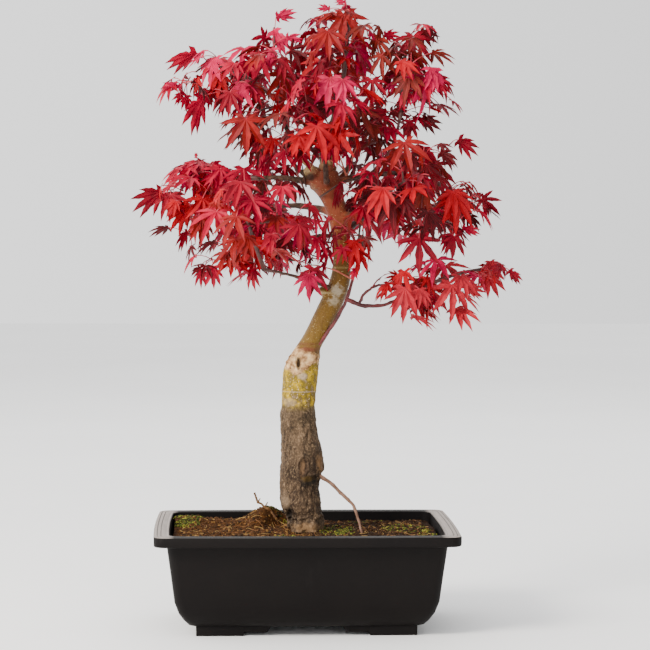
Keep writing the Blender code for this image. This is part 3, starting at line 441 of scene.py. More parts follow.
def grow_mass(name, room, lines, stems):
    """The mass's twigs and leaves. Each leaf's twig leaves the twigs grown before it."""
    count, seed, reaches = MASSES[name][3:]
    rng = random.Random(seed)
    segments = limb_segments(lines, {k: v for k, v in stems.items() if k != name})
    (start, end), _ = stems[name]
    twigs = [{"start": start, "end": end, "parent": None, "share": 0.0, "path": 0.0,
              "length": STEM_LENGTH, "load": 1}]
    leaves = []
    hubs = sample_hubs(room, round(count * HUB_SPARE), rng)
    hubs.sort(key=lambda hub: float(np.linalg.norm(hub - end)))
    for hub in [place(reach) for reach in reaches] + hubs:
        if len(leaves) == count:
            break
        join = find_join(twigs, hub, segments)
        if join is None:
            continue
        leaf = place_leaf(room, hub, join[2], segments, [known["spread"] for known in leaves], rng)
        if leaf is None or not in_room(room, hub):
            continue
        leaves.append(leaf)
        grow_twig(twigs, join, leaf["notch"])
    return twigs, leaves


# ------------ materials

def linear(code):
    """An sRGB hex colour as a linear RGBA."""
    values = [int(code[i:i + 2], 16) / 255 for i in (1, 3, 5)]
    return (*[v / 12.92 if v <= 0.04045 else ((v + 0.055) / 1.055) ** 2.4 for v in values], 1.0)


def node(tree, kind, inputs=(), stops=(), output=None, **settings):
    """Adds one node and gives its first open output, or the one named. An input, by name or by number,
    takes a number, a hex colour or an output. Stops are a ramp's places, each with a colour or a grey."""
    new = tree.nodes.new("ShaderNode" + kind)
    for key, value in settings.items():
        setattr(new, key, value)
    for key, value in inputs.items() if isinstance(inputs, dict) else enumerate(inputs):
        if isinstance(value, bpy.types.NodeSocket):
            tree.links.new(value, new.inputs[key])
        else:
            new.inputs[key].default_value = linear(value) if isinstance(value, str) else value
    for index, (position, tone) in enumerate(stops):
        elements = new.color_ramp.elements
        if index == 0:
            elements.remove(elements[-1])
        stop = elements.new(position) if index else elements[0]
        stop.position = position
        stop.color = linear(tone) if isinstance(tone, str) else (tone, tone, tone, 1.0)
    return new.outputs[output] if output else next(socket for socket in new.outputs if socket.enabled)


def new_material(name, roughness, ior, specular, *patterns):
    """A material with its tree, its shader, the place on the piece and its patterns. A pattern is noise:
    the size of its features in metres, its detail, its roughness and, where it is drawn out, how much it
    is squeezed along each axis."""
    material = bpy.data.materials.new(name)
    material.use_nodes = True
    tree = material.node_tree
    shader = tree.nodes["Principled BSDF"]
    for key, value in (("Roughness", roughness), ("IOR", ior), ("Specular IOR Level", specular)):
        shader.inputs[key].default_value = value
    spot = node(tree, "TexCoord", output="Object")
    grains = []
    for size, detail, rough, *squeeze in patterns:
        squeezed = node(tree, "Mapping", {"Vector": spot, "Scale": squeeze or (1, 1, 1)})
        grains.append(node(tree, "TexNoise", {"Vector": squeezed, "Scale": 1 / size, "Detail": detail,
                                              "Roughness": rough}))
    return material, tree, shader, spot, grains


def patches(tree, pattern, none, full, within=1.0):
    """Where a pattern shows inside a zone: from 0 where it is at none to 1 where it is at full."""
    share = node(tree, "ValToRGB", (pattern,), sorted(((none, 0.0), (full, 1.0))))
    return node(tree, "Math", (share, within), operation="MULTIPLY")


def coat(tree, under, tone, mask, strength=1.0):
    """Lays one colour over another, as strongly as a mask says."""
    share = node(tree, "Math", (mask, strength), operation="MULTIPLY")
    return node(tree, "Mix", {0: share, 6: under, 7: tone}, data_type="RGBA")


def oval(tree, spot, centre, radii, edge, pattern=None, tatter=0.0):
    """A soft-edged mask, 1 inside an ellipsoid and 0 outside, whose edge a pattern may tear."""
    away = node(tree, "VectorMath", (spot, centre), operation="SUBTRACT")
    away = node(tree, "VectorMath", (away, radii), operation="DIVIDE")
    away = node(tree, "VectorMath", (away,), operation="LENGTH", output="Value")
    if pattern is not None:
        away = node(tree, "Math", (away, tatter / 2), operation="SUBTRACT")
        away = node(tree, "Math", (pattern, tatter, away), operation="MULTIPLY_ADD")
    return node(tree, "MapRange", {"Value": away, "From Min": 1 - edge, "From Max": 1 + edge, "To Min": 1.0,
                                   "To Max": 0.0})


def cover(tree, shader, colour, height=None, depth=0.0, strength=1.0):
    """Gives a shader its colour and, where there is a height, its fine relief, depth metres deep."""
    tree.links.new(colour, shader.inputs["Base Color"])
    if height is not None:
        bump = node(tree, "Bump", {"Strength": strength, "Distance": depth, "Height": height})
        tree.links.new(bump, shader.inputs["Normal"])


def plastic_material():
    """Moulded polypropylene, near black: an even satin. Scuffs a centimetre long make it look used. Grey on the
    rim's top is partly dust and partly painted sheen, and much stronger on its short sides as a painted reflection."""
    material, tree, shader, spot, (cloud, scuff, streak, grit) = new_material(
        "moulded_polypropylene", 0.6, 1.49, 0.12, (0.06, 3.0, 0.55), (0.01, 8.0, 0.7, 1, 1, 0.25),
        (0.0035, 6.0, 0.75, 1, 0.12, 1), (0.0012, 4.0, 0.55))
    colour = node(tree, "ValToRGB", (cloud,), ((0.3, "#070404"), (0.7, "#0b0706")))
    colour = coat(tree, colour, "#2e2a28", patches(tree, scuff, 0.6, 0.78), 0.1)
    normal = node(tree, "NewGeometry", output="Normal")
    aside = node(tree, "Math", (node(tree, "SeparateXYZ", (spot,), output="X"), POT_X), operation="SUBTRACT")
    aside = node(tree, "Math", (aside,), operation="ABSOLUTE")
    # Grey on what faces up on the rim's top, partly dust and partly painted sheen; on its short sides a painted
    # reflection makes it much stronger.
    shares = [node(tree, "MapRange", {"Value": value, "From Min": low, "From Max": high}) for value, low, high in (
        (node(tree, "SeparateXYZ", (normal,), output="Z"), 0.55, 0.95),
        (node(tree, "SeparateXYZ", (spot,), output="Z"), *RIM_DUST_AND_SHEEN_HEIGHTS), (aside, *SHORT_SIDE_SHEEN))]
    # The short sides take much more of the grey, as a painted reflection; elsewhere on the rim a little stays as dust
    # and sheen.
    shares[2] = node(tree, "Math", (shares[2], 0.55, 0.03), operation="MULTIPLY_ADD")
    shares.append(node(tree, "Math", (streak, 0.9, 0.55), operation="MULTIPLY_ADD"))
    dust_and_sheen = 1.0
    for share in shares:
        dust_and_sheen = node(tree, "Math", (dust_and_sheen, share), operation="MULTIPLY")
    # The grey coat is partly dust and partly painted sheen and reflection.
    cover(tree, shader, coat(tree, colour, "#b4aaa3", dust_and_sheen), grit, 0.00006, 0.6)
    return material


def right_side_shade_share(tree, spot):
    """How much painted shade darkens the soil: more to the right of the trunk."""
    x = node(tree, "SeparateXYZ", (spot,), output="X")
    right = node(tree, "MapRange", {"Value": x, "From Min": POT_X - 0.005, "From Max": POT_X + 0.02})
    return node(tree, "Math", (right, 0.92), operation="MULTIPLY")


def peat_material(name, dark, mid, light):
    """Damp peat: crumbly and matt, so dark in the hollows and warm brown on crumbs a few millimetres wide,
    with painted shade to the right of the trunk.
    """
    material, tree, shader, spot, (crumbs, broad, grit) = new_material(
        name, 0.95, 1.4, 0.15, (0.0035, 6.0, 0.7), (0.03, 2.0, 0.55), (0.0014, 5.0, 0.7))
    colour = node(tree, "ValToRGB", (crumbs,), ((0.3, dark), (0.52, mid), (0.72, light)))
    colour = coat(tree, colour, dark, broad, 0.5)
    # Painted shade darkens the soil to the right of the trunk.
    cover(tree, shader, coat(tree, colour, dark, right_side_shade_share(tree, spot)), grit, 0.0008)
    return material


def plain_growth(name, dark, light, roughness, right_side_shaded=False):
    """Something small that grew: matt, in two tones that drift into each other over four millimetres, and
    where asked, with painted shade to the right of the trunk.
    """
    material, tree, shader, spot, (cloud,) = new_material(name, roughness, 1.42, 0.3, (0.004, 4.0, 0.55))
    colour = node(tree, "ValToRGB", (cloud,), ((0.3, dark), (0.7, light)))
    cover(tree, shader, coat(tree, colour, dark, right_side_shade_share(tree, spot)) if right_side_shaded else colour)
    return material


# The bark's colour by height above the floor, in metres.
BARK_COLOURS = ((0.083, "#31251b"), (0.096, "#433427"), (0.106, "#37291e"), (0.13, "#37291d"), (0.15, "#3f3022"),
                (0.18, "#3d2f20"), (0.196, "#483928"), (0.2025, "#5d4c1c"), (0.222, "#715f18"), (0.24, "#6f5b1a"),
                (0.246, "#735f3c"), (0.254, "#654428"), (0.2575, "#6a4f19"), (0.3, "#6a4c17"), (0.33, "#634417"),
                (0.346, "#7c4a1c"), (0.366, "#8c4528"), (0.41, "#84402c"), (0.47, "#5a3226"))
BARK_LOW = 0.08
BARK_HIGH = 0.48
# Bands round the trunk: height, half width, colour and strength.
RINGS = ((0.2144, 0.0005, "#b9a396", 0.42), (0.3055, 0.0008, "#a8946a", 0.5), (0.329, 0.0008, "#98804f", 0.5),
         (0.2995, 0.0005, "#4a3216", 0.45), (0.2585, 0.0012, "#5a2f1c", 0.55))
# Patches on the bark, from the pot's centre: place, radii, colour, strength and how ragged.
SPOTS = (((0.003, -0.001, 0.2535), (0.0085, 0.01, 0.002), "#6a3626", 0.75, 1.4),
         # Painted shade: the inside of the graft crack drawn near black, over the crack that the relief cuts.
         ((-0.006, 0.0, 0.2412), (0.0019, 0.009, 0.0058), "#1c110a", 0.92, 1.0),
         ((-0.0025, 0.0, 0.229), (0.0042, 0.009, 0.0032), "#a8927c", 0.75, 1.0),
         ((-0.015, 0.002, 0.205), (0.009, 0.014, 0.0035), "#96806c", 0.45, 3.0),
         ((-0.001, -0.005, 0.1435), (0.0046, 0.008, 0.0096), "#2e1f15", 0.8, 1.6),
         ((-0.0024, -0.005, 0.1455), (0.0022, 0.008, 0.0066), "#7c5e42", 0.6, 2.8),
         ((0.009, 0.001, 0.147), (0.0016, 0.01, 0.0085), "#20150e", 0.8, 1.2),
         ((0.015, 0.002, 0.1475), (0.0044, 0.012, 0.0074), "#7c5c3c", 0.6, 2.8),
         # Painted shadow: a dark oval below the wound.
         ((0.0045, -0.002, 0.132), (0.008, 0.011, 0.005), "#17120b", 0.85, 2.2),
         ((0.002, -0.003, 0.1345), (0.005, 0.011, 0.0028), "#5a431c", 0.55, 2.6),
         ((-0.014, 0.004, 0.101), (0.0032, 0.01, 0.011), "#0f0a07", 0.9, 1.4),
         ((-0.0175, 0.006, 0.113), (0.004, 0.012, 0.009), "#88725a", 0.5, 2.2),
         ((0.002, 0.0, 0.089), (0.013, 0.016, 0.004), "#8a6a48", 0.6, 2.4),
         ((0.029, 0.004, 0.308), (0.0055, 0.009, 0.005), "#a59a82", 0.75, 3.2),
         ((0.0265, 0.004, 0.2975), (0.005, 0.009, 0.0038), "#a3977c", 0.65, 3.2),
         ((0.012, 0.004, 0.3045), (0.006, 0.011, 0.0035), "#a08c68", 0.6, 1.6),
         ((-0.001, 0.0, 0.42), (0.009, 0.0095, 0.007), "#a2865c", 0.9, 1.4),
         # Painted shade: the two dark patches under the pale cut scar at the trunk's top.
         ((0.004, -0.002, 0.412), (0.005, 0.0085, 0.0035), "#24160f", 0.8, 1.4),
         ((-0.006, 0.0, 0.408), (0.004, 0.0085, 0.006), "#33241a", 0.7, 1.4),
         ((0.021, 0.006, 0.4285), (0.009, 0.0095, 0.0045), "#9c845a", 0.85, 1.4),
         ((0.013, 0.0, 0.423), (0.0055, 0.0085, 0.004), "#80664a", 0.7, 1.6),
         ((0.004, 0.0, 0.399), (0.007, 0.012, 0.006), "#8a7050", 0.5, 2.4))
# The callus: the heights of its lower and upper edge at their middles, how fast each climbs or falls
# to the sides, and where those middles are.
CALLUS_LOW, CALLUS_HIGH = (0.23, 0.55, -0.0079), (0.256, -0.4, -0.0069)
# Where the pot's rim is grey with dust and painted sheen: its heights, and how far to either side of the pot's middle
# the painted reflection of its short sides sets in.
RIM_DUST_AND_SHEEN_HEIGHTS = (0.09, 0.0918)
SHORT_SIDE_SHEEN = (0.118, 0.124)
# Where old bark, lichen and young bark show: heights, each with 0 for none or 1 for full.
BARK_ZONES = (((0.198, 1.0), (0.2045, 0.0)), ((0.2, 0.0), (0.204, 1.0), (0.236, 1.0), (0.243, 0.0)),
              ((0.254, 0.0), (0.262, 1.0)))
LENTICELS_PER_METRE = (330, 330, 560)


def bark_material():
    """Bark: rough and brown at the foot, lichen above it, a beige graft callus, then smooth ochre bark
    with pale lenticels that turns red brown in the crown. Boughs are a plain grey brown."""
    material, tree, shader, spot, patterns = new_material(
        "maple_bark", 0.85, 1.45, 0.22, (0.007, 6.0, 0.65), (0.006, 6.0, 0.68, 1, 1, 0.36),
        (0.0017, 4.0, 0.75, 1, 1, 0.75), (0.0016, 3.0, 0.6), (0.006, 2.0, 0.55), (0.004, 5.0, 0.65, 1, 1, 0.3),
        (0.005, 6.0, 0.7), (0.006, 5.0, 0.62), (0.0035, 5.0, 0.7), (0.0016, 3.0, 0.6, 0.4, 0.4, 1.6))
    drift, lumps, grains, dots, sparse, streaks, mottle, callus_shade_folds, ragged, wrinkles = patterns
    moved = node(tree, "Mapping", {"Vector": spot, "Location": (0.3, 0.1, 0.2), "Scale": (1, 1, 0.8)})
    crust = node(tree, "TexNoise", {"Vector": moved, "Scale": 1 / 0.0065, "Detail": 5.0, "Roughness": 0.66})
    x, z = (node(tree, "SeparateXYZ", (spot,), output=axis) for axis in "XZ")
    level = node(tree, "Math", (z, 0.006), operation="SUBTRACT")
    level = node(tree, "Math", (drift, 0.012, level), operation="MULTIPLY_ADD")
    share = node(tree, "MapRange", {"Value": level, "From Min": BARK_LOW, "From Max": BARK_HIGH})

    def by_height(stops):
        return node(tree, "ValToRGB", (share,), [((height - BARK_LOW) / (BARK_HIGH - BARK_LOW), tone)
                                                 for height, tone in stops])

    colour = by_height(BARK_COLOURS)
    old, lichen, young = [by_height(stops) for stops in BARK_ZONES]
    # Coats: on the old bark, painted light on its lumps and painted shade in its hollows, half a centimetre across,
    # and the same on its grains and pits, about a millimetre, from the patterns that also raise its relief; the
    # lichen's yellow crust, thinner to the right, with bare bark and dots; the young bark's brown streaks.
    for pattern, none, full, zone, strength, tone in (
            (lumps, 0.48, 0.66, old, 0.5, "#846a50"), (lumps, 0.47, 0.3, old, 0.8, "#1a110a"),
            (grains, 0.52, 0.66, old, 0.42, "#ab8f6e"), (grains, 0.46, 0.34, old, 0.5, "#140c07"),
            (crust, 0.52, 0.4, lichen, 0.85, "#b29210"), (crust, 0.56, 0.64, lichen, 0.7, "#7a6450"),
            (dots, 0.6, 0.68, lichen, 0.75, "#cdb495"), (streaks, 0.55, 0.35, young, 0.35, "#4a2c12")):
        colour = coat(tree, colour, tone, patches(tree, pattern, none, full, zone), strength)
    # Lenticels: pale dashes that lie across the young bark, drawn about a millimetre long.
    dashes = node(tree, "TexVoronoi", {"Scale": 1.0, "Randomness": 1.0, "Vector": node(
        tree, "Mapping", {"Vector": spot, "Scale": LENTICELS_PER_METRE})}, output="Distance")
    kept = node(tree, "ValToRGB", (sparse,), ((0.4, 0.0), (0.55, 1.0)))
    dash = node(tree, "Math", (patches(tree, dashes, 0.24, 0.13, kept), young), operation="MULTIPLY")
    colour = coat(tree, colour, "#c0a874", dash, 0.8)
    bough_tone = node(tree, "ValToRGB", (mottle,), ((0.34, "#20130f"), (0.52, "#40281e"), (0.7, "#644838")))
    colour = coat(tree, colour, bough_tone, node(tree, "Attribute", attribute_name="bough", output="Fac"))
    # The callus: a rumpled pale collar over the graft; its pattern paints shade into the dark folds and light onto
    # the palest ridges, over its own beige.
    callus = 1.0
    for (middle_height, slope, middle), none, full in ((CALLUS_LOW, -0.0006, 0.0012), (CALLUS_HIGH, 0.0012, -0.0006)):
        aside = node(tree, "Math", (x, middle + POT_X), operation="SUBTRACT")
        aside = node(tree, "Math", (aside,), operation="ABSOLUTE")
        edge = node(tree, "Math", (aside, slope, middle_height), operation="MULTIPLY_ADD")
        past = node(tree, "Math", (level, edge), operation="SUBTRACT")
        inside = node(tree, "MapRange", {"Value": past, "From Min": none, "From Max": full})
        callus = node(tree, "Math", (callus, inside), operation="MULTIPLY")
    collar = node(tree, "ValToRGB", (callus_shade_folds,), ((0.34, "#4a3018"), (0.42, "#8a6642"), (0.5, "#b28c60"),
                                               (0.62, "#ceac7c"), (0.74, "#e8d0a8")))
    colour = coat(tree, colour, collar, callus)
    wavy = node(tree, "Math", (dots, 0.0012, node(tree, "Math", (z, 0.0006), operation="SUBTRACT")),
                operation="MULTIPLY_ADD")
    gaps = node(tree, "ValToRGB", (crust,), ((0.34, 0.25), (0.52, 1.0)))
    for height, half, tone, strength in RINGS:
        ring = oval(tree, node(tree, "CombineXYZ", {"Z": wavy}), (0, 0, height), (1.0, 1.0, half), 0.5)
        colour = coat(tree, colour, tone, node(tree, "Math", (ring, gaps), operation="MULTIPLY"), strength)
    for (dx, y, height), radii, tone, strength, tatter in SPOTS:
        patch = oval(tree, spot, (dx + POT_X, y, height), radii, 0.35, ragged, tatter)
        colour = coat(tree, colour, tone, patch, strength)
    tree.links.new(coat(tree, "#dedede", "#b0b0b0", young), shader.inputs["Roughness"])
    rise = node(tree, "Math", (old, 0.9, 0.1), operation="MULTIPLY_ADD")
    rise = node(tree, "Math", (lumps, rise, grains), operation="MULTIPLY_ADD")
    cover(tree, shader, colour, node(tree, "Math", (wrinkles, 0.6, rise), operation="MULTIPLY_ADD"), 0.0012, 0.9)
    return material


def twig_material(name, dark, light):
    """Smooth young bark: a slight gloss over tones that drift along a centimetre."""
    material, tree, shader, _, (cloud, grain) = new_material(name, 0.5, 1.45, 0.4, (0.009, 5.0, 0.55),
                                                             (0.0016, 4.0, 0.6, 1, 1, 0.5))
    cover(tree, shader, node(tree, "ValToRGB", (cloud,), ((0.32, dark), (0.68, light))), grain, 0.0002)
    return material


def leaf_material(name, deep, bright):
    """A maple leaf: satin, darker between the veins, with a pale midrib in each lobe."""
    material, tree, shader, _, (cloud,) = new_material(name, 0.52, 1.45, 0.16, (0.011, 3.0, 0.55))
    uv = node(tree, "UVMap", uv_map="ribs")
    across, along = (node(tree, "SeparateXYZ", (uv,), output=axis) for axis in "XY")
    rib = node(tree, "MapRange", {"Value": across, "From Min": 0.0, "From Max": 0.16, "To Min": 1.0, "To Max": 0.0})
    slant = node(tree, "Math", (across, -14.0), operation="MULTIPLY")
    wave = node(tree, "Math", (along, 70.0, slant), operation="MULTIPLY_ADD")
    veins = node(tree, "ValToRGB", (node(tree, "Math", (wave,), operation="SINE"),), ((0.6, 0.0), (0.95, 1.0)))
    colour = node(tree, "ValToRGB", (cloud,), ((0.32, deep), (0.68, bright)))
    for mask, strength in ((rib, 0.34), (veins, 0.1)):
        colour = coat(tree, colour, "#b01c30", mask, strength)
    raised = node(tree, "Math", (veins, 0.4), operation="MULTIPLY")
    cover(tree, shader, colour, node(tree, "Math", (rib, raised), operation="ADD"), 0.0003, 0.5)
    return material


# ------------ modelling helpers

def start_piece(*pieces):
    """Leaves edit mode and deselects everything, then selects these pieces, the first as the active one."""
    if bpy.context.object is not None and bpy.context.object.mode != "OBJECT":
        bpy.ops.object.mode_set(mode="OBJECT")
    bpy.ops.object.select_all(action="DESELECT")
    for piece in pieces:
        piece.select_set(True)
    if pieces:
        bpy.context.view_layer.objects.active = pieces[0]


def finish_piece(obj, name, materials, smooth=False, angle=None):
    """Names a piece, puts its place into its mesh and shades it, all smooth or up to an angle in degrees."""
    start_piece(obj)
    bpy.ops.object.transform_apply(location=True, rotation=True, scale=True)
    obj.name = name
    obj.data.name = name
    obj.data.materials.clear()
    for material in materials:
        obj.data.materials.append(material)
    if smooth:
        bpy.ops.object.shade_smooth()
    if angle is not None:
        bpy.ops.object.shade_smooth_by_angle(angle=math.radians(angle))
    return obj


def apply_modifier(obj, kind, **settings):
    modifier = obj.modifiers.new(kind.lower(), kind)
    for key, value in settings.items():
        setattr(modifier, key, value)
    start_piece(obj)
    bpy.ops.object.modifier_apply(modifier=modifier.name)


def join_pieces(pieces):
    start_piece(*pieces)
    bpy.ops.object.join()
    return pieces[0]


def face_outwards():
    """Turns all faces outwards and leaves edit mode."""
    bpy.ops.mesh.select_all(action="SELECT")
    bpy.ops.mesh.normals_make_consistent(inside=False)
    bpy.ops.object.mode_set(mode="OBJECT")


def join_shapes(name, shapes, materials, smooth=False):
    """One mesh from many small shapes: each is its points, its faces, its material's number and, on a
    leaf, its points' UV."""
    points, faces, tints, count = [], [], [], 0
    for shape_points, shape_faces, tint, _ in shapes:
        points.append(shape_points)
        faces += [[index + count for index in face] for face in shape_faces]
        tints += [tint] * len(shape_faces)
        count += len(shape_points)
    mesh = bpy.data.meshes.new(name)
    mesh.from_pydata(np.concatenate(points).tolist(), [], faces)
    for material in materials:
        mesh.materials.append(material)
    mesh.polygons.foreach_set("material_index", np.array(tints, dtype=np.int32))
    mesh.polygons.foreach_set("use_smooth", np.full(len(mesh.polygons), smooth))
    if shapes[0][3] is not None:
        corners = np.empty(len(mesh.loops), dtype=np.int32)
        mesh.loops.foreach_get("vertex_index", corners)
        uvs = np.concatenate([uv for _, _, _, uv in shapes]).astype(np.float32)
        mesh.uv_layers.new(name="ribs").data.foreach_set("uv", uvs[corners].ravel())
    mesh.update()
    obj = bpy.data.objects.new(name, mesh)
    bpy.context.scene.collection.objects.link(obj)
    return obj


def hand_over(piece, material_slot, *nodes):
    """Ties a finished piece to the tree's body and hides the nodes that it stands for; its slot is not used."""
    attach(piece, "root")
    if nodes:
        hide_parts(*nodes)


def select_where(test, kind="FACE"):
    """In edit mode, selects the faces, edges or vertices that pass test."""
    bpy.ops.mesh.select_mode(type=kind)
    bpy.ops.mesh.select_all(action="DESELECT")
    bpy.ops.object.mode_set(mode="OBJECT")
    mesh = bpy.context.object.data
    for item in {"FACE": mesh.polygons, "EDGE": mesh.edges, "VERT": mesh.vertices}[kind]:
        item.select = bool(test(mesh, item))
    bpy.ops.object.mode_set(mode="EDIT")


# ------------ the crown: sprays and their leaves

# A leaf's lobes from side to side: degrees from the middle one and length.
LOBES = ((-82, 0.7), (-38, 0.93), (0, 1.0), (38, 0.93), (82, 0.7))
# A main lobe's edge on one side: how far along the lobe and how wide, as shares of the lobe's length.
LOBE_EDGE = ((0.45, 0.118), (0.56, 0.092), (0.72, 0.084), (0.82, 0.048))
LOBE_RIBS = (0.36, 0.55, 0.79)
LOBE_WANDER = 5
OUTER_SINUS = 19
SINUS = 0.19
SMALL_LOBE = (118.0, 0.36)
# How far the lobes of each family of leaf shapes spread, 1 being wide open, and how many shapes it has.
LEAF_FAMILIES = ((1.0, 6), (0.75, 4), (0.5, 4), (0.34, 3))
# Each tint of leaf: its name, its colour in the clouds of darker skin and its colour between them.
TINTS = (("leaf_crimson", "#580010", "#8c001e"), ("leaf_bright_crimson", "#78001a", "#b00030"),
         ("leaf_scarlet", "#7a000c", "#ae0414"), ("leaf_maroon", "#300206", "#54040c"),
         ("leaf_orange_red", "#600c0c", "#881410"), ("leaf_rose", "#88002a", "#be0a48"),
         ("leaf_brown_red", "#4a100a", "#701e14"), ("leaf_coral", "#80101c", "#ae2430"))
# The tints dealt out in a mass's depths and at its edge, by number, and where that is not as elsewhere; the maroon
# and brown red ones in the depths are painted shade inside the crown.
SHADED_DEPTH_TINTS = (0, 0, 1, 3, 2, 0, 3, 6)
EDGE_TINTS = (0, 0, 1, 1, 2, 5, 1, 4)
MASS_TINTS = {"low_right_foliage": ((7, 2, 1, 7), (7, 7, 4, 5, 2)),
              "mid_right_foliage": (SHADED_DEPTH_TINTS, (0, 3, 2, 3, 0, 6)),
              "front_right_foliage": (SHADED_DEPTH_TINTS, (0, 0, 3, 2, 2, 0, 3, 4)),
              "inner_right_foliage": (SHADED_DEPTH_TINTS, (0, 3, 1, 6, 0)),
              "centre_foliage": (SHADED_DEPTH_TINTS, (0, 0, 1, 5, 2, 3)),
              "inner_left_foliage": (SHADED_DEPTH_TINTS, (0, 3, 1, 0))}
# Leaves near these places, from the pot's centre, take one tint: place, reach and the tint's number.
TINTED = (((0.077, -0.03, 0.523), 0.03, 6), ((-0.055, -0.09, 0.461), 0.035, 6),
          ((0.036, -0.02, 0.56), 0.022, 6), ((-0.028, 0.0, 0.555), 0.022, 0))
# The crown's middle and half sizes, and how far out, as a share of those, its edge begins.
CROWN_MIDDLE = (0.012, 0.0, 0.43)
CROWN_SIZE = (0.17, 0.12, 0.13)
CROWN_EDGE = 0.58
# A leaf's stalk starts this far before the leaf, and a spray on a longer twig bears no companions.
NODE_BEFORE_LEAF = 0.022
BARE_TWIG = 0.03
WOOD_RADIUS = 0.00062
WOOD_GROWTH = 0.42
STALK_RADIUS = 0.0004
# A twig's thickness from its foot to its node, as shares of its radius.
TWIG_TAPER = (1.15, 1.0, 0.96, 0.92, 0.88)
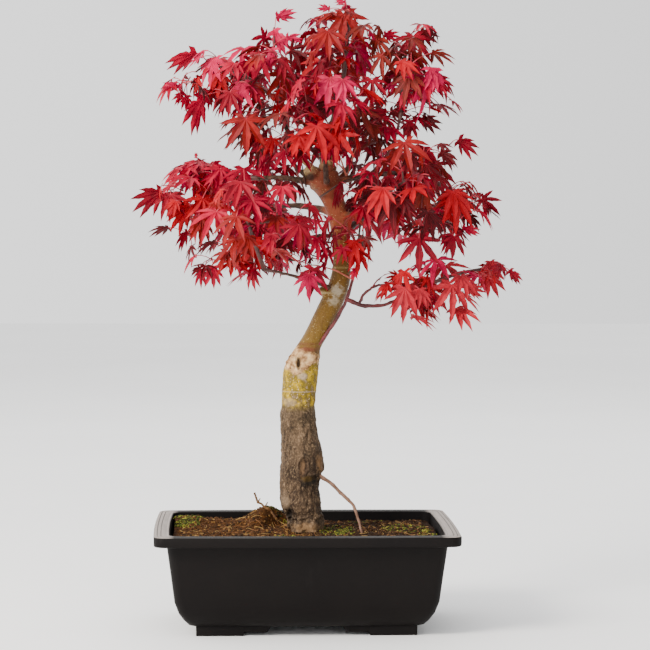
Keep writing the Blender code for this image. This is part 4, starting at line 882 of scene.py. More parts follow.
# Sprays that show against the sky, by the mass that each grows from: its leaf's place from the pot's
# centre, heading and hang in degrees, roll, length, how far its lobes spread, and its tint.
SPRAYS = {
    "upper_left_foliage": (
        ((-0.0273, 0, 0.5577), 0, -14, 62, 0.021, 0.4, 5), ((-0.0301, -0.004, 0.5456), 5, 60, 62, 0.028, 0.35, 5),
        ((-0.0184, -0.01, 0.5379), 0, 0, 77, 0.017, 0.4, 5),
        ((-0.0364, 0.004, 0.5398), 200, 42, -58, 0.026, 0.9, 1),
        ((-0.0996, 0.02, 0.526), 180, 28, -52, 0.035, 0.4, 1),
        ((-0.1136, -0.02, 0.4925), 180, -4, -42, 0.02, 0.38, 5),
        ((-0.1083, -0.01, 0.4858), 185, 82, -62, 0.018, 0.6, 1),
        ((-0.1112, 0, 0.4891), 180, 48, -62, 0.016, 0.3, 1),
        ((-0.0928, -0.015, 0.4847), 190, 64, -61, 0.04, 0.32, 1),
        ((-0.0693, -0.03, 0.4877), -95, 72, -5, 0.025, 0.85, 0),
        ((-0.0551, -0.06, 0.4622), -90, 76, 0, 0.035, 1, 4),
        ((-0.0838, -0.02, 0.5179), -110, 60, -21, 0.031, 0.75, 5),
        ((-0.0495, -0.03, 0.5147), -150, 30, -54, 0.027, 0.8, 1),
        ((-0.0149, -0.015, 0.5267), -20, 20, 58, 0.024, 0.9, 3),),
    "upper_right_foliage": (
        ((0.0973, -0.01, 0.5404), -90, 72, 0, 0.031, 1, 0), ((0.1049, 0.004, 0.5461), 5, 32, 62, 0.022, 0.55, 3),
        ((0.0813, -0.03, 0.5217), -65, 62, 26, 0.028, 0.95, 6),
        ((0.0623, -0.03, 0.5351), -30, 36, 54, 0.03, 0.95, 6), ((0.0719, 0.005, 0.5423), 0, 4, 62, 0.017, 0.5, 1),
        ((0.1041, -0.03, 0.5011), -58, 66, 33, 0.043, 0.9, 5),
        ((0.0873, -0.012, 0.5039), 205, 30, -56, 0.024, 0.75, 5), ((0.0957, 0, 0.4645), -90, 82, 0, 0.021, 0.6, 0),
        ((0.1074, 0.008, 0.4667), 0, 30, 62, 0.023, 0.55, 3), ((0.0736, 0, 0.4808), 180, 6, -62, 0.016, 0.45, 3),
        ((0.0835, 0.01, 0.4795), 0, 32, 62, 0.013, 0.5, 3), ((0.0773, 0, 0.4717), 4, 10, 62, 0.02, 0.6, 3),
        ((0.0741, 0.006, 0.4711), 182, 8, -62, 0.018, 0.6, 0), ((0.0588, -0.03, 0.4991), -90, 62, 0, 0.024, 0.9, 0),
        ((0.1152, -0.006, 0.5044), 10, 40, 61, 0.026, 0.5, 0),
        ((0.0675, -0.034, 0.5213), -100, 70, -11, 0.024, 0.9, 6),),
    "mid_right_foliage": (
        ((0.14, 0, 0.4464), -5, 35, 62, 0.025, 0.6, 0), ((0.1625, 0, 0.3923), 0, 35, 62, 0.023, 1, 0),
        ((0.1345, -0.03, 0.3956), -80, 76, 11, 0.038, 0.8, 2), ((0.1431, -0.01, 0.3657), 0, 15, 62, 0.019, 0.4, 1),
        ((0.0999, -0.055, 0.3568), -90, 82, 0, 0.034, 1, 0), ((0.1275, -0.02, 0.3584), -70, 70, 21, 0.02, 0.5, 0),
        ((0.0816, -0.035, 0.3756), -90, 62, 0, 0.024, 0.8, 0), ((0.1226, -0.01, 0.435), -20, 35, 58, 0.024, 0.6, 3),
        ((0.1493, 0.006, 0.3776), -10, 50, 61, 0.02, 0.6, 3), ((0.1348, -0.02, 0.3584), -80, 74, 11, 0.025, 0.8, 0),),
    "shoot_foliage": (
        ((0.0467, -0.03, 0.3456), -85, 66, 5, 0.026, 0.85, 2),
        ((0.0433, -0.026, 0.3292), -100, 78, -11, 0.013, 0.4, 1),),
    "low_right_foliage": (
        ((0.1866, -0.01, 0.3273), 0, 48, 62, 0.018, 0.32, 0), ((0.1656, 0, 0.3279), 0, 62, 62, 0.032, 0.5, 7),
        ((0.0887, -0.04, 0.3116), -90, 80, 0, 0.034, 0.85, 7), ((0.1321, -0.032, 0.3141), -85, 74, 5, 0.034, 1, 7),
        ((0.148, -0.01, 0.3107), 0, 10, 62, 0.019, 0.5, 7), ((0.115, -0.02, 0.2982), 225, 58, -44, 0.027, 0.45, 2),
        ((0.0853, 0, 0.3214), 185, 0, -62, 0.014, 0.8, 2),),
    "mid_left_foliage": (
        ((-0.131, -0.01, 0.3977), 180, 27, -62, 0.035, 0.5, 0),
        ((-0.0947, -0.008, 0.4215), 190, 46, -61, 0.034, 0.75, 1),
        ((-0.1053, -0.03, 0.385), 190, 46, -61, 0.033, 0.55, 2),
        ((-0.0765, -0.02, 0.4023), -120, 55, -31, 0.023, 0.8, 3),
        ((-0.0918, -0.024, 0.367), -130, 62, -40, 0.03, 0.6, 0),
        ((-0.1002, -0.006, 0.4288), 90, -80, 0, 0.006, 0.3, 1),
        ((-0.1073, -0.016, 0.3615), 200, 52, -58, 0.022, 0.6, 0),
        ((-0.1038, -0.01, 0.3487), -120, 60, -31, 0.018, 0.7, 3),),
    "low_left_foliage": (
        ((-0.0847, 0, 0.3303), -90, 86, 0, 0.023, 0.45, 1),
        ((-0.0966, 0.002, 0.3293), 180, 36, -62, 0.011, 0.28, 3),
        ((-0.0474, -0.024, 0.329), -110, 70, -21, 0.023, 0.55, 0),
        ((-0.0144, -0.01, 0.3343), -130, 40, -40, 0.014, 0.4, 0),
        ((0.0108, -0.02, 0.349), -60, 74, 31, 0.018, 0.5, 5),
        ((0.0067, -0.032, 0.3293), -90, 80, 0, 0.028, 0.75, 0),
        ((0.0046, -0.016, 0.3381), -120, 50, -31, 0.012, 0.6, 3),
        ((0.0096, -0.026, 0.3564), -80, 70, 11, 0.024, 0.8, 1),
        ((0.0181, -0.02, 0.3472), -70, 74, 21, 0.022, 0.75, 0),
        ((0.0021, -0.034, 0.3239), -100, 76, -11, 0.027, 0.8, 5),
        ((-0.0054, -0.014, 0.3343), -120, 58, -31, 0.014, 0.5, 3),
        ((0.0153, -0.022, 0.3345), -60, 70, 31, 0.015, 0.6, 1),),
    "inner_left_foliage": (
        ((0.0089, -0.02, 0.3718), -90, 70, 0, 0.015, 0.9, 5),
        ((-0.0035, -0.01, 0.3626), -100, 60, -11, 0.014, 0.8, 0),
        ((-0.0081, -0.012, 0.3507), -150, 40, -54, 0.013, 0.7, 1),
        ((0.0172, -0.016, 0.3754), -40, 40, 47, 0.012, 0.7, 0),
        ((-0.0197, -0.03, 0.4357), -100, 66, -11, 0.024, 0.7, 1),
        ((-0.0063, -0.036, 0.4338), -80, 66, 11, 0.024, 0.7, 0),),
    "top_foliage": (
        ((0.0338, -0.02, 0.5591), -90, 74, 0, 0.036, 1, 4), ((0.0215, -0.01, 0.5644), 175, -8, -62, 0.013, 0.35, 5),
        ((0.0358, -0.016, 0.5703), 180, 2, -62, 0.012, 0.35, 5),),
    "centre_foliage": (
        ((0.0336, -0.05, 0.4336), -60, 50, 31, 0.024, 0.6, 1),
        ((0.0195, -0.06, 0.4989), -95, 74, -5, 0.033, 0.8, 5),),
}
# Where the crown is open seen from the front: from x, to x, from z, to z, from the pot's centre.
SKY = (
    (0.0422, 0.0769, 0.5554, 0.5738), (0.0863, 0.0973, 0.5138, 0.5284), (0.1093, 0.1239, 0.5121, 0.5322),
    (0.1286, 0.1552, 0.5067, 0.5288), (-0.0325, 0.006, 0.378, 0.39), (-0.0151, -0.005, 0.3579, 0.3744),
    (0.1384, 0.1649, 0.4042, 0.4391), (-0.1514, -0.1277, 0.4014, 0.4225), (0.0688, 0.0863, 0.2956, 0.3122),
    (0.0874, 0.1613, 0.2578, 0.2791), (0.1797, 0.2027, 0.2948, 0.3123), (0.0595, 0.0833, 0.3324, 0.3545),
    (0.0607, 0.0753, 0.5027, 0.5192), (0.0902, 0.103, 0.4672, 0.4865), (-0.1003, -0.0766, 0.4345, 0.4655),
    (-0.0086, -0.0022, 0.3212, 0.3451), (0.1608, 0.1792, 0.3546, 0.3712), (-0.1167, -0.1112, 0.459, 0.4818),
    (-0.1286, -0.1149, 0.4544, 0.4818), (0.1261, 0.151, 0.4536, 0.4666), (0.0001, 0.022, 0.5597, 0.5717),
    (0.0431, 0.0678, 0.5482, 0.5665), (-0.0035, 0.0184, 0.537, 0.5516), (0.0369, 0.0607, 0.4752, 0.4881),
    (-0.04, -0.0144, 0.4456, 0.4567), (-0.1185, -0.0985, 0.5018, 0.5146), (-0.1222, -0.1003, 0.3933, 0.4034),
    (0.1306, 0.1453, 0.4793, 0.494), (0.1778, 0.1925, 0.3086, 0.3252), (-0.1003, -0.0875, 0.3339, 0.3449),
)


def leaf_shape(rng, spread):
    """One leaf of unit length in its own frame, x forward, y to the side, z up: points, faces and
    the UV of each point, which is how far it lies from its lobe's rib and how far along the lobe."""
    lobes = [(math.radians((angle + rng.uniform(-LOBE_WANDER, LOBE_WANDER)) * spread),
              reach * rng.uniform(0.92, 1.0)) for angle, reach in LOBES]
    droop, fold = rng.uniform(0.14, 0.38) * (0.6 + 0.4 * spread), rng.uniform(0.25, 0.7)
    points, uvs, faces = [(0.0, 0.0, 0.0)], [(0.0, 0.0)], []

    def put(angle, reach, sideways, lift, uv, sag):
        x = reach * math.cos(angle) - sideways * math.sin(angle)
        y = reach * math.sin(angle) + sideways * math.cos(angle)
        points.append((x, y, lift - sag * (x * x + y * y)))
        uvs.append(uv)
        return len(points) - 1

    def fill(corners, side):
        faces.extend(face if side > 0 else face[::-1] for face in corners)

    middles = [(first[0] + second[0]) / 2 for first, second in zip(lobes, lobes[1:])]
    outer = math.radians(OUTER_SINUS * spread)
    sinuses = [put(angle, SINUS * rng.uniform(0.85, 1.15), 0.0, 0.03, (1.0, 0.2), droop)
               for angle in (lobes[0][0] - outer, *middles, lobes[-1][0] + outer)]
    for number, (angle, reach) in enumerate(lobes):
        sag = droop * rng.uniform(0.75, 1.25)
        curl = rng.uniform(-0.06, 0.06)
        rise = (1.0 - spread) * 0.1 * (number % 2)
        ribs = [put(angle, reach * t, curl * t * t, rise * t, (0.0, t * reach), sag) for t in LOBE_RIBS]
        tip = put(angle, reach, curl, rise, (0.3, reach), sag)
        for side, sinus in ((-1, sinuses[number]), (1, sinuses[number + 1])):
            edge = [put(angle, reach * t, curl * t * t + side * w * reach * rng.uniform(0.9, 1.1),
                        fold * w * reach + rise * t, (1.0, t * reach), sag) for t, w in LOBE_EDGE]
            fill(((0, ribs[0], sinus), (ribs[0], ribs[1], edge[0], sinus), (ribs[1], edge[1], edge[0]),
                  (ribs[1], ribs[2], edge[2], edge[1]), (ribs[2], tip, edge[3], edge[2])), side)
    for side, sinus in ((-1, sinuses[0]), (1, sinuses[-1])):
        angle = math.radians(side * SMALL_LOBE[0] * (0.4 + 0.6 * spread))
        reach = SMALL_LOBE[1] * rng.uniform(0.8, 1.1)
        rib = put(angle, reach * 0.55, 0.0, 0.0, (0.0, reach / 2), droop)
        tip = put(angle, reach, 0.0, 0.0, (0.3, reach), droop)
        near, far = (put(angle, reach * 0.5, way * side * reach * 0.2, 0.01, (1.0, reach / 2), droop)
                     for way in (-1, 1))
        fill(((0, sinus, rib), (sinus, near, rib), (rib, near, tip), (rib, tip, far), (0, rib, far)), side)
    return np.array(points), faces, np.array(uvs)


def twig_point(twig, share):
    """A point along a twig, which bows a little upwards."""
    along = twig["end"] - twig["start"]
    return twig["start"] + along * share + twig["bow"] * 4 * share * (1 - share)


def bow_twigs(twigs, rng):
    """Bows each twig and moves the foot of each of its own twigs onto it."""
    for index, twig in enumerate(twigs):
        if twig["parent"] is not None:
            twig["start"] = twig_point(twigs[twig["parent"]], twig["share"])
        length = float(np.linalg.norm(twig["end"] - twig["start"]))
        lift = np.array((rng.uniform(-0.05, 0.05), rng.uniform(-0.05, 0.05), rng.uniform(0.02, 0.09)))
        twig["bow"] = lift * length if index else lift * 0.0


def companion(room, join, heading, segments, taken, rng):
    """A further leaf on a stalk of its own from a twig's node, or None."""
    for _ in range(COMPANION_TRIES):
        turn = math.radians(rng.choice((-1, 1)) * rng.uniform(*COMPANION_TURN))
        flat = unit(turned(heading, turn) + 1e-9)
        hub = join + (flat + np.array((0.0, 0.0, rng.uniform(-0.5, 0.6)))) * rng.uniform(*PETIOLE)
        axes = leaf_frame(flat, rng.uniform(*COMPANION_HANG), rng.uniform(-COMPANION_ROLL, COMPANION_ROLL))
        leaf = try_leaf(room, hub, axes, rng.uniform(*YOUNG_LEAF), segments, taken,
                        FINE_LIMB_CLEARANCE, FINE_LEAF_CLEARANCE)
        if leaf is not None:
            return {**leaf, "foot": join, "fallen": False}
    return None


def tint_of(name, hub, rng):
    """The tint of a spray: maroon in the crown's depths as painted shade, bright at its edge."""
    for centre, reach, tint in TINTED:
        if np.linalg.norm(hub - place(centre)) < reach:
            return tint
    deep, edge = MASS_TINTS.get(name, (SHADED_DEPTH_TINTS, EDGE_TINTS))
    depth = np.linalg.norm((hub - place(CROWN_MIDDLE)) / np.array(CROWN_SIZE))
    return rng.choice(edge if depth > CROWN_EDGE else deep)


def in_sky(leaf):
    """Whether a leaf's middle lies where the crown is open."""
    x, _, z = leaf["hub"] + leaf["forward"] * leaf["length"] * 0.55 - place((0.0, 0.0, 0.0))
    return any(low_x < x < high_x and low_z < z < high_z for low_x, high_x, low_z, high_z in SKY)


def add_sprays(name, twigs, leaves):
    """The sprays that show against the sky, each on a twig of its own."""
    nowhere = limb_segments({"far": ([place((9, 9, 9)), place((9, 9, 10))], [0.001, 0.001])}, {})
    for spot, heading, hang, roll, length, lobes, tint in SPRAYS.get(name, ()):
        hub = place(spot)
        turn = math.radians(heading)
        forward, up = leaf_frame(np.array((math.cos(turn), math.sin(turn), 0.0)), hang, roll)
        grow_twig(twigs, find_join(twigs, hub, nowhere), hub)
        leaves.append({"hub": hub, "forward": forward, "up": up, "length": length, "shape": lobes, "tint": tint,
                       "spread": spread_of(leaf_points(hub, forward, up, length)), "spray": True})


def thin_out(leaves):
    """Marks as fallen the leaves that cover a spray or close a gap in the crown."""
    shown = [leaf["spread"] for leaf in leaves if "spray" in leaf]
    for leaf in leaves:
        covers = bool(shown) and least_gap(leaf["spread"], shown) < FINE_LEAF_CLEARANCE
        leaf["fallen"] = "spray" not in leaf and (covers or in_sky(leaf))


def grow_crown():
    """Every mass's twigs and leaves: those of the solids first, then the sprays that show against the
    sky, then the companions of both."""
    lines = limb_lines()
    stems = {name: stem_line(*lines[mass[0]]) for name, mass in MASSES.items()}
    rooms = make_rooms()
    crown = []
    for name, mass in MASSES.items():
        twigs, leaves = grow_mass(name, rooms[name], lines, stems)
        rng = random.Random(mass[4] + 1000)
        add_sprays(name, twigs, leaves)
        thin_out(leaves)
        bow_twigs(twigs, rng)
        segments = limb_segments(lines, {k: v for k, v in stems.items() if k != name})
        taken = [leaf["spread"] for leaf in leaves if not leaf["fallen"]]
        for leaf, twig in zip(leaves, twigs[1:]):
            leaf.setdefault("tint", tint_of(name, leaf["hub"], rng))
            leaf.setdefault("shape", rng.choice((1.0, 1.0, 0.75, 0.75, 0.5)))
            twig["tint"] = leaf["tint"]
        young = []
        for leaf, twig in zip(leaves, twigs[1:]):
            along = twig["end"] - twig["start"]
            length = float(np.linalg.norm(along))
            twig["node"] = max(0.3, 1 - NODE_BEFORE_LEAF / length)
            if "spray" in leaf and length > BARE_TWIG:
                continue
            for number in range(rng.choice(COMPANIONS)):
                share = twig["node"] if number == 0 else rng.uniform(0.3, twig["node"])
                fresh = companion(rooms[name], twig_point(twig, share), along, segments, taken, rng)
                if fresh is None or in_sky(fresh):
                    continue
                fresh["tint"] = twig["tint"] if rng.random() < 0.75 else rng.choice((0, 1, 2, 3))
                fresh["shape"] = rng.choice((1.0, 0.75, 0.75, 0.5, 0.5, 0.34))
                taken.append(fresh["spread"])
                young.append(fresh)
        crown.append((name, twigs, leaves, young))
    return crown, lines, stems


def add_leaves(crown, materials):
    """Every leaf as one mesh: copies of a few shapes, each turned into its own place."""
    rng = random.Random(77)
    families = {spread: [leaf_shape(rng, spread) for _ in range(count)] for spread, count in LEAF_FAMILIES}
    shapes = []
    for _, _, leaves, young in crown:
        for leaf in leaves + young:
            if leaf["fallen"]:
                continue
            family = min(families, key=lambda spread: abs(spread - leaf["shape"]))
            shape, faces, uvs = rng.choice(families[family])
            side = np.cross(leaf["up"], leaf["forward"])
            placed = shape[:, :1] * leaf["forward"] + shape[:, 1:2] * side + shape[:, 2:] * leaf["up"]
            shapes.append((leaf["hub"] + placed * leaf["length"], faces, leaf["tint"], uvs))
    return join_shapes("maple_leaves", shapes, materials)


def tube_along(line, radii, sides=5):
    """Points and faces of a closed tube along a line."""
    rings, faces = [], []
    reference = np.array((0.0, 0.0, 1.0))
    for index, point in enumerate(line):
        heading = unit(line[min(index + 1, len(line) - 1)] - line[max(index - 1, 0)])
        across = np.cross(heading, reference)
        if np.linalg.norm(across) < 0.1:
            across = np.cross(heading, np.array((1.0, 0.0, 0.0)))
        across = unit(across)
        reference = unit(np.cross(across, heading))
        for step in range(sides):
            turn = 2 * math.pi * step / sides
            rings.append(point + radii[index] * (across * math.cos(turn) + reference * math.sin(turn)))
    for index in range(len(line) - 1):
        for step in range(sides):
            a, b = index * sides + step, index * sides + (step + 1) % sides
            faces.append((b, a, a + sides, b + sides))
    faces.append(tuple(range(sides)))
    last = (len(line) - 1) * sides
    faces.append(tuple(reversed(range(last, last + sides))))
    return np.array(rings), faces


def add_twigs(crown, stems, materials):
    """The woody twigs and red leaf stalks of every mass, as one mesh."""
    shapes = []

    def add(line, radii, tint):
        shapes.append((*tube_along(line, radii), tint, None))

    def add_stalk(foot, hub, sag, bend):
        arch = np.array((0.0, 0.0, sag))
        line = [foot, foot + (hub - foot) * bend + arch, foot + (hub - foot) * 0.7 + arch, hub]
        add(line, [STALK_RADIUS * 1.5, STALK_RADIUS, STALK_RADIUS, STALK_RADIUS * 1.3], 2)

    for name, twigs, leaves, young in crown:
        (start, end), (foot_radius, _) = stems[name]
        add([start - unit(end - start) * 0.002, start, end],
            [foot_radius * 1.05, foot_radius, WOOD_RADIUS * twigs[0]["load"] ** WOOD_GROWTH], 0)
        for twig, leaf in zip(twigs[1:], leaves):
            if leaf["fallen"] and twig["load"] == 1:
                continue
            radius = WOOD_RADIUS * twig["load"] ** WOOD_GROWTH
            line = [twig_point(twig, twig["node"] * i / len(TWIG_TAPER)) for i in range(len(TWIG_TAPER) + 1)]
            add(line, [radius * share for share in TWIG_TAPER] + [max(radius * 0.8, 0.0006)],
                0 if twig["load"] > 2 else 1)
            if not leaf["fallen"]:
                add_stalk(twig_point(twig, twig["node"]), leaf["hub"], 0.0012, 0.33)
        for leaf in young:
            add_stalk(leaf["foot"], leaf["hub"], 0.0015, 0.35)
    return join_shapes("maple_twigs", shapes, materials, smooth=True)


crown, limb_of, stem_of = grow_crown()
hand_over(add_leaves(crown, [leaf_material(*tint) for tint in TINTS]), "leaf", *MASSES)
hand_over(add_twigs(crown, stem_of, [twig_material("woody_twig_bark", "#3a2020", "#5f3a34"),
                                     twig_material("red_twig_bark", "#4f1c20", "#7d2c30"),
                                     twig_material("leaf_stalk_skin", "#8e1a2c", "#c13a48")]),
          "young_bark", *MASSES)


# ------------ the trunk and boughs

# The flare of the roots at the trunk's foot: foot, tip, radius at the foot and at the tip.
ROOT_FLARES = (((0.002, 0.016, 0.112), (0.0165, 0.022, 0.083), 0.0125, 0.004),
               ((-0.003, 0.016, 0.116), (-0.011, 0.034, 0.083), 0.013, 0.004),
               ((0.001, 0.01, 0.104), (0.008, -0.005, 0.083), 0.011, 0.004),
               ((-0.001, 0.01, 0.1), (-0.006, -0.003, 0.083), 0.009, 0.0036))
THIN_BOUGHS = ("left_low_bough", "left_mid_bough")
YOUNG_SHOOTS = ("side_shoot", "right_low_bough", "right_low_fork", "right_riser")
TRUNK_FOOT_DEPTH = 0.004
BARK_VOXEL = 0.0008
# How much thicker the bark is drawn than the solid, to make up for its smoothing, and where it is thicker
# still: height, reach, thickness added and how far that lies to the right.
BARK_ADDED = 0.0005
THICKENING = ((0.3, 0.02, 0.0022, 0.0011), (0.268, 0.024, 0.0018, 0.0003))
# Boughs drawn thinner than their solids, by the share of the solid's thickness.
SLIMMING = {"left_low_bough": 0.68, "left_mid_bough": 0.7, "right_riser": 0.62, "left_high_bough": 0.8,
            "left_upper_bough": 0.8, "front_bough": 0.8, "left_inner_bough": 0.8, "right_inner_bough": 0.8,
            "right_bough": 0.8}
# Cuts and cracks in the bark: place, half sizes, depth and how far the edge stands up.
CUTS = (((-0.0014, -0.004, 0.1464), (0.0044, 0.01, 0.0076), 0.0014, 0.001),
        ((0.0222, 0.006, 0.1495), (0.004, 0.008, 0.0085), 0.0012, 0.0008),
        ((-0.006, -0.001, 0.2412), (0.0022, 0.009, 0.0068), 0.0032, 0.0008),
        ((-0.0145, 0.003, 0.1), (0.0035, 0.008, 0.01), 0.003, 0.0005),
        ((-0.001, 0.001, 0.4215), (0.006, 0.007, 0.0045), 0.0012, 0.001),
        ((0.021, 0.008, 0.4305), (0.006, 0.007, 0.004), 0.0012, 0.0008),
        ((0.009, -0.002, 0.133), (0.008, 0.009, 0.0045), 0.0014, 0.0006))
# Swellings with soft edges: place, half sizes and height.
SWELLS = (((-0.0145, 0.002, 0.2445), (0.0075, 0.014, 0.012), 0.0016),
          ((0.005, 0.002, 0.2465), (0.011, 0.014, 0.005), 0.0019),
          ((-0.019, 0.004, 0.133), (0.007, 0.014, 0.012), 0.0012),
          ((-0.017, 0.004, 0.113), (0.005, 0.012, 0.011), 0.0012),
          ((0.01, 0.0, 0.406), (0.007, 0.008, 0.006), 0.0012),
          ((0.027, 0.004, 0.418), (0.006, 0.008, 0.006), 0.001))
# Heights where the bark stands out in a ring, and how far.
BARK_RINGS = ((0.3055, 0.0006), (0.329, 0.0005), (0.2144, 0.0001), (0.098, 0.001))
THICK_BOUGHS = [name for name in LIMBS if name not in (*YOUNG_SHOOTS, *THIN_BOUGHS, "side_root")]
# Above this height, places this far outside the trunk belong to a bough, fully at the second.
BOUGHS_ABOVE = 0.26
ON_BOUGH = (0.003, 0.01)


def add_trunk_blank():
    """The trunk's body: a circle drawn upwards station by station."""
    line = []
    for x, y, z, thick in smooth_line(TRUNK, 0.006):
        near = [math.exp(-((z - height) / reach) ** 2) for height, reach, _, _ in THICKENING]
        more = sum(share * added for share, (_, _, added, _) in zip(near, THICKENING))
        x += sum(share * shift for share, (_, _, _, shift) in zip(near, THICKENING))
        line.append((x, y, z, thick + 2 * BARK_ADDED + more))
    start_piece()
    foot = line[0]
    bpy.ops.mesh.primitive_circle_add(vertices=32, radius=foot[3] / 2, fill_type="NGON",
                                      location=(POT_X + foot[0], foot[1], foot[2] - TRUNK_FOOT_DEPTH))
    trunk = bpy.context.object
    bpy.ops.object.mode_set(mode="EDIT")
    bpy.ops.mesh.select_all(action="SELECT")
    before = (foot[0], foot[1], foot[2] - TRUNK_FOOT_DEPTH, foot[3])
    for station in line:
        bpy.ops.mesh.extrude_region_move(TRANSFORM_OT_translate={
            "value": (station[0] - before[0], station[1] - before[1], station[2] - before[2])})
        growth = station[3] / before[3]
        bpy.ops.transform.resize(value=(growth, growth, 1.0),
                                 center_override=(POT_X + station[0], station[1], station[2]))
        before = station
    face_outwards()
    return trunk


def add_round_limb(line, radii, resolution=6):
    """A limb as a round curve of changing thickness, made into a mesh."""
    data = bpy.data.curves.new("limb", "CURVE")
    data.dimensions = "3D"
    data.bevel_depth = 1.0
    data.bevel_resolution = resolution
    data.use_fill_caps = True
    spline = data.splines.new("POLY")
    spline.points.add(len(line) - 1)
    for point, spot, radius in zip(spline.points, line, radii):
        point.co = (*spot, 1.0)
        point.radius = radius
    limb = bpy.data.objects.new("limb", data)
    bpy.context.scene.collection.objects.link(limb)
    start_piece(limb)
    bpy.ops.object.convert(target="MESH")
    return bpy.context.object


def fine_line(line, radii, steps=14, knots=0.0, seed=0):
    """A limb's line drawn finer, with slight kinks and swollen nodes."""
    rng = random.Random(seed)
    stations = smooth_line([(*point, radius) for point, radius in zip(line, radii)],
                           float(np.linalg.norm(line[-1] - line[0])) / steps)
    points, thick = [], []
    for index, station in enumerate(stations):
        wander = 0.0 if index in (0, len(stations) - 1) else knots
        points.append(station[:3] + np.array([rng.uniform(-wander, wander) for _ in range(3)]))
        thick.append(station[3] * (1.0 + (0.16 if index % 4 == 2 else 0.0)))
    return points, thick


def slim_limb(name):
    """A limb's line and radii, slimmer than its solid where that is too thick."""
    line, radii = limb_of[name]
    return line, [radius * SLIMMING.get(name, 1.0) for radius in radii]


def knobbly(spot):
    """How far the old bark stands out at a place: lumps, shallow cracks and grains."""
    drawn = Vector((spot.x + spot.z * 0.1, spot.y, spot.z * 0.42))
    ridge = max(1.0 - abs(noise.noise(drawn / 0.0065)) * 2.6, 0.0)
    lumps = noise.noise(spot / 0.013) + 0.5 * noise.noise(spot / 0.0065)
    grains = noise.fractal(spot / 0.0024, 1.0, 2.1, 3)
    return -0.00095 * ridge ** 2 + 0.00095 * lumps + 0.0004 * grains


def step_between(value, low, high):
    """0 below low and 1 above high."""
    return min(max((value - low) / (high - low), 0.0), 1.0)


def share_of(spot, centre, reach):
    """How far out a place lies in an ellipsoid: 0 in its middle, 1 on its surface."""
    return math.sqrt(sum((a / r) ** 2 for a, r in zip(spot - Vector(centre), reach)))


def relief(spot, radius_here):
    """How far the bark stands out at a place given from the pot's centre."""
    z = spot.z + 0.003 * noise.noise(spot / 0.008)
    old = 1.0 - step_between(z, 0.197, 0.206)
    crust = step_between(z, 0.197, 0.206) * (1.0 - step_between(z, 0.236, 0.242))
    callus = step_between(z, 0.236, 0.242) * (1.0 - step_between(z, 0.25, 0.256))
    young = step_between(z, 0.25, 0.256)
    out = old * knobbly(spot)
    out += crust * (0.00035 * noise.noise(spot / 0.003) + 0.0008 * noise.noise(spot / 0.012)
                    + 0.0002 * noise.noise(spot / 0.0014))
    out += callus * (0.0012 * noise.noise(Vector((spot.x, spot.y, spot.z * 1.8)) / 0.008)
                     + 0.001 * noise.noise(spot / 0.0036) + 0.0005 * noise.noise(spot / 0.0018) + 0.0003)
    out += young * (0.00022 * noise.noise(spot / 0.004) + 0.0005 * noise.noise(spot / 0.018))
    for height, swell in BARK_RINGS:
        out += swell * math.exp(-((z - height) / 0.0012) ** 2)
    for centre, reach, depth, rim in CUTS:
        away = share_of(spot, centre, reach)
        out += -depth * max(1.0 - away ** 2, 0.0) + rim * math.exp(-((away - 1.15) / 0.18) ** 2)
    for centre, reach, swell in SWELLS:
        out += swell * step_between(1.0 - share_of(spot, centre, reach), 0.0, 0.45)
    return out * min(radius_here / 0.01, 1.0)


def add_bark():
    """The trunk, its swellings and the thick boughs as one skin with the bark's relief."""
    parts = [add_trunk_blank()]
    for foot, tip, foot_radius, tip_radius in ROOT_FLARES + TRUNK_SWELLINGS[3:]:
        parts.append(add_round_limb(*fine_line([place(foot), place(tip)], [foot_radius, tip_radius], 8), 10))
    for number, name in enumerate(LIMBS):
        if name in THICK_BOUGHS:
            parts.append(add_round_limb(*fine_line(*slim_limb(name), 14, 0.0003, number)))
    bark = join_pieces(parts)
    start_piece(bark)
    bpy.ops.object.transform_apply(location=True, rotation=True, scale=True)
    apply_modifier(bark, "REMESH", mode="VOXEL", voxel_size=BARK_VOXEL)
    apply_modifier(bark, "SMOOTH", factor=0.5, iterations=4)
    axis = [(Vector(place(p)), p[3] / 2) for p in smooth_line(TRUNK, 0.004)]
    mesh = bark.data
    share = mesh.attributes.new("bough", "FLOAT", "POINT")
    normals = [vertex.normal.copy() for vertex in mesh.vertices]
    for vertex, normal in zip(mesh.vertices, normals):
        spot = vertex.co - Vector((POT_X, 0.0, 0.0))
        away = min((vertex.co - point).length - radius for point, radius in axis)
        on_bough = step_between(away, *ON_BOUGH) if spot.z > BOUGHS_ABOVE else 0.0
        share.data[vertex.index].value = on_bough
        vertex.co += normal * relief(spot, 0.01 - 0.0075 * on_bough)
    return finish_piece(bark, "trunk_bark", [bark_material()], smooth=True)


def add_shoots(names, piece_name, material, knots=0.0004):
    """Thin limbs as one piece."""
    parts = [add_round_limb(*fine_line(*slim_limb(name), 16, knots, 40 + number), 4)
             for number, name in enumerate(names)]
    return finish_piece(join_pieces(parts), piece_name, [material], smooth=True)


hand_over(add_bark(), "bark", "trunk", *THICK_BOUGHS)
hand_over(add_shoots(YOUNG_SHOOTS, "young_shoots", twig_material("young_shoot_bark", "#3c1214", "#6c2a2a")),
          "young_bark", *YOUNG_SHOOTS)
hand_over(add_shoots(THIN_BOUGHS, "thin_boughs", twig_material("brown_bough_bark", "#2e1c18", "#5c4034"), 0.0005),
          "bark", *THIN_BOUGHS)
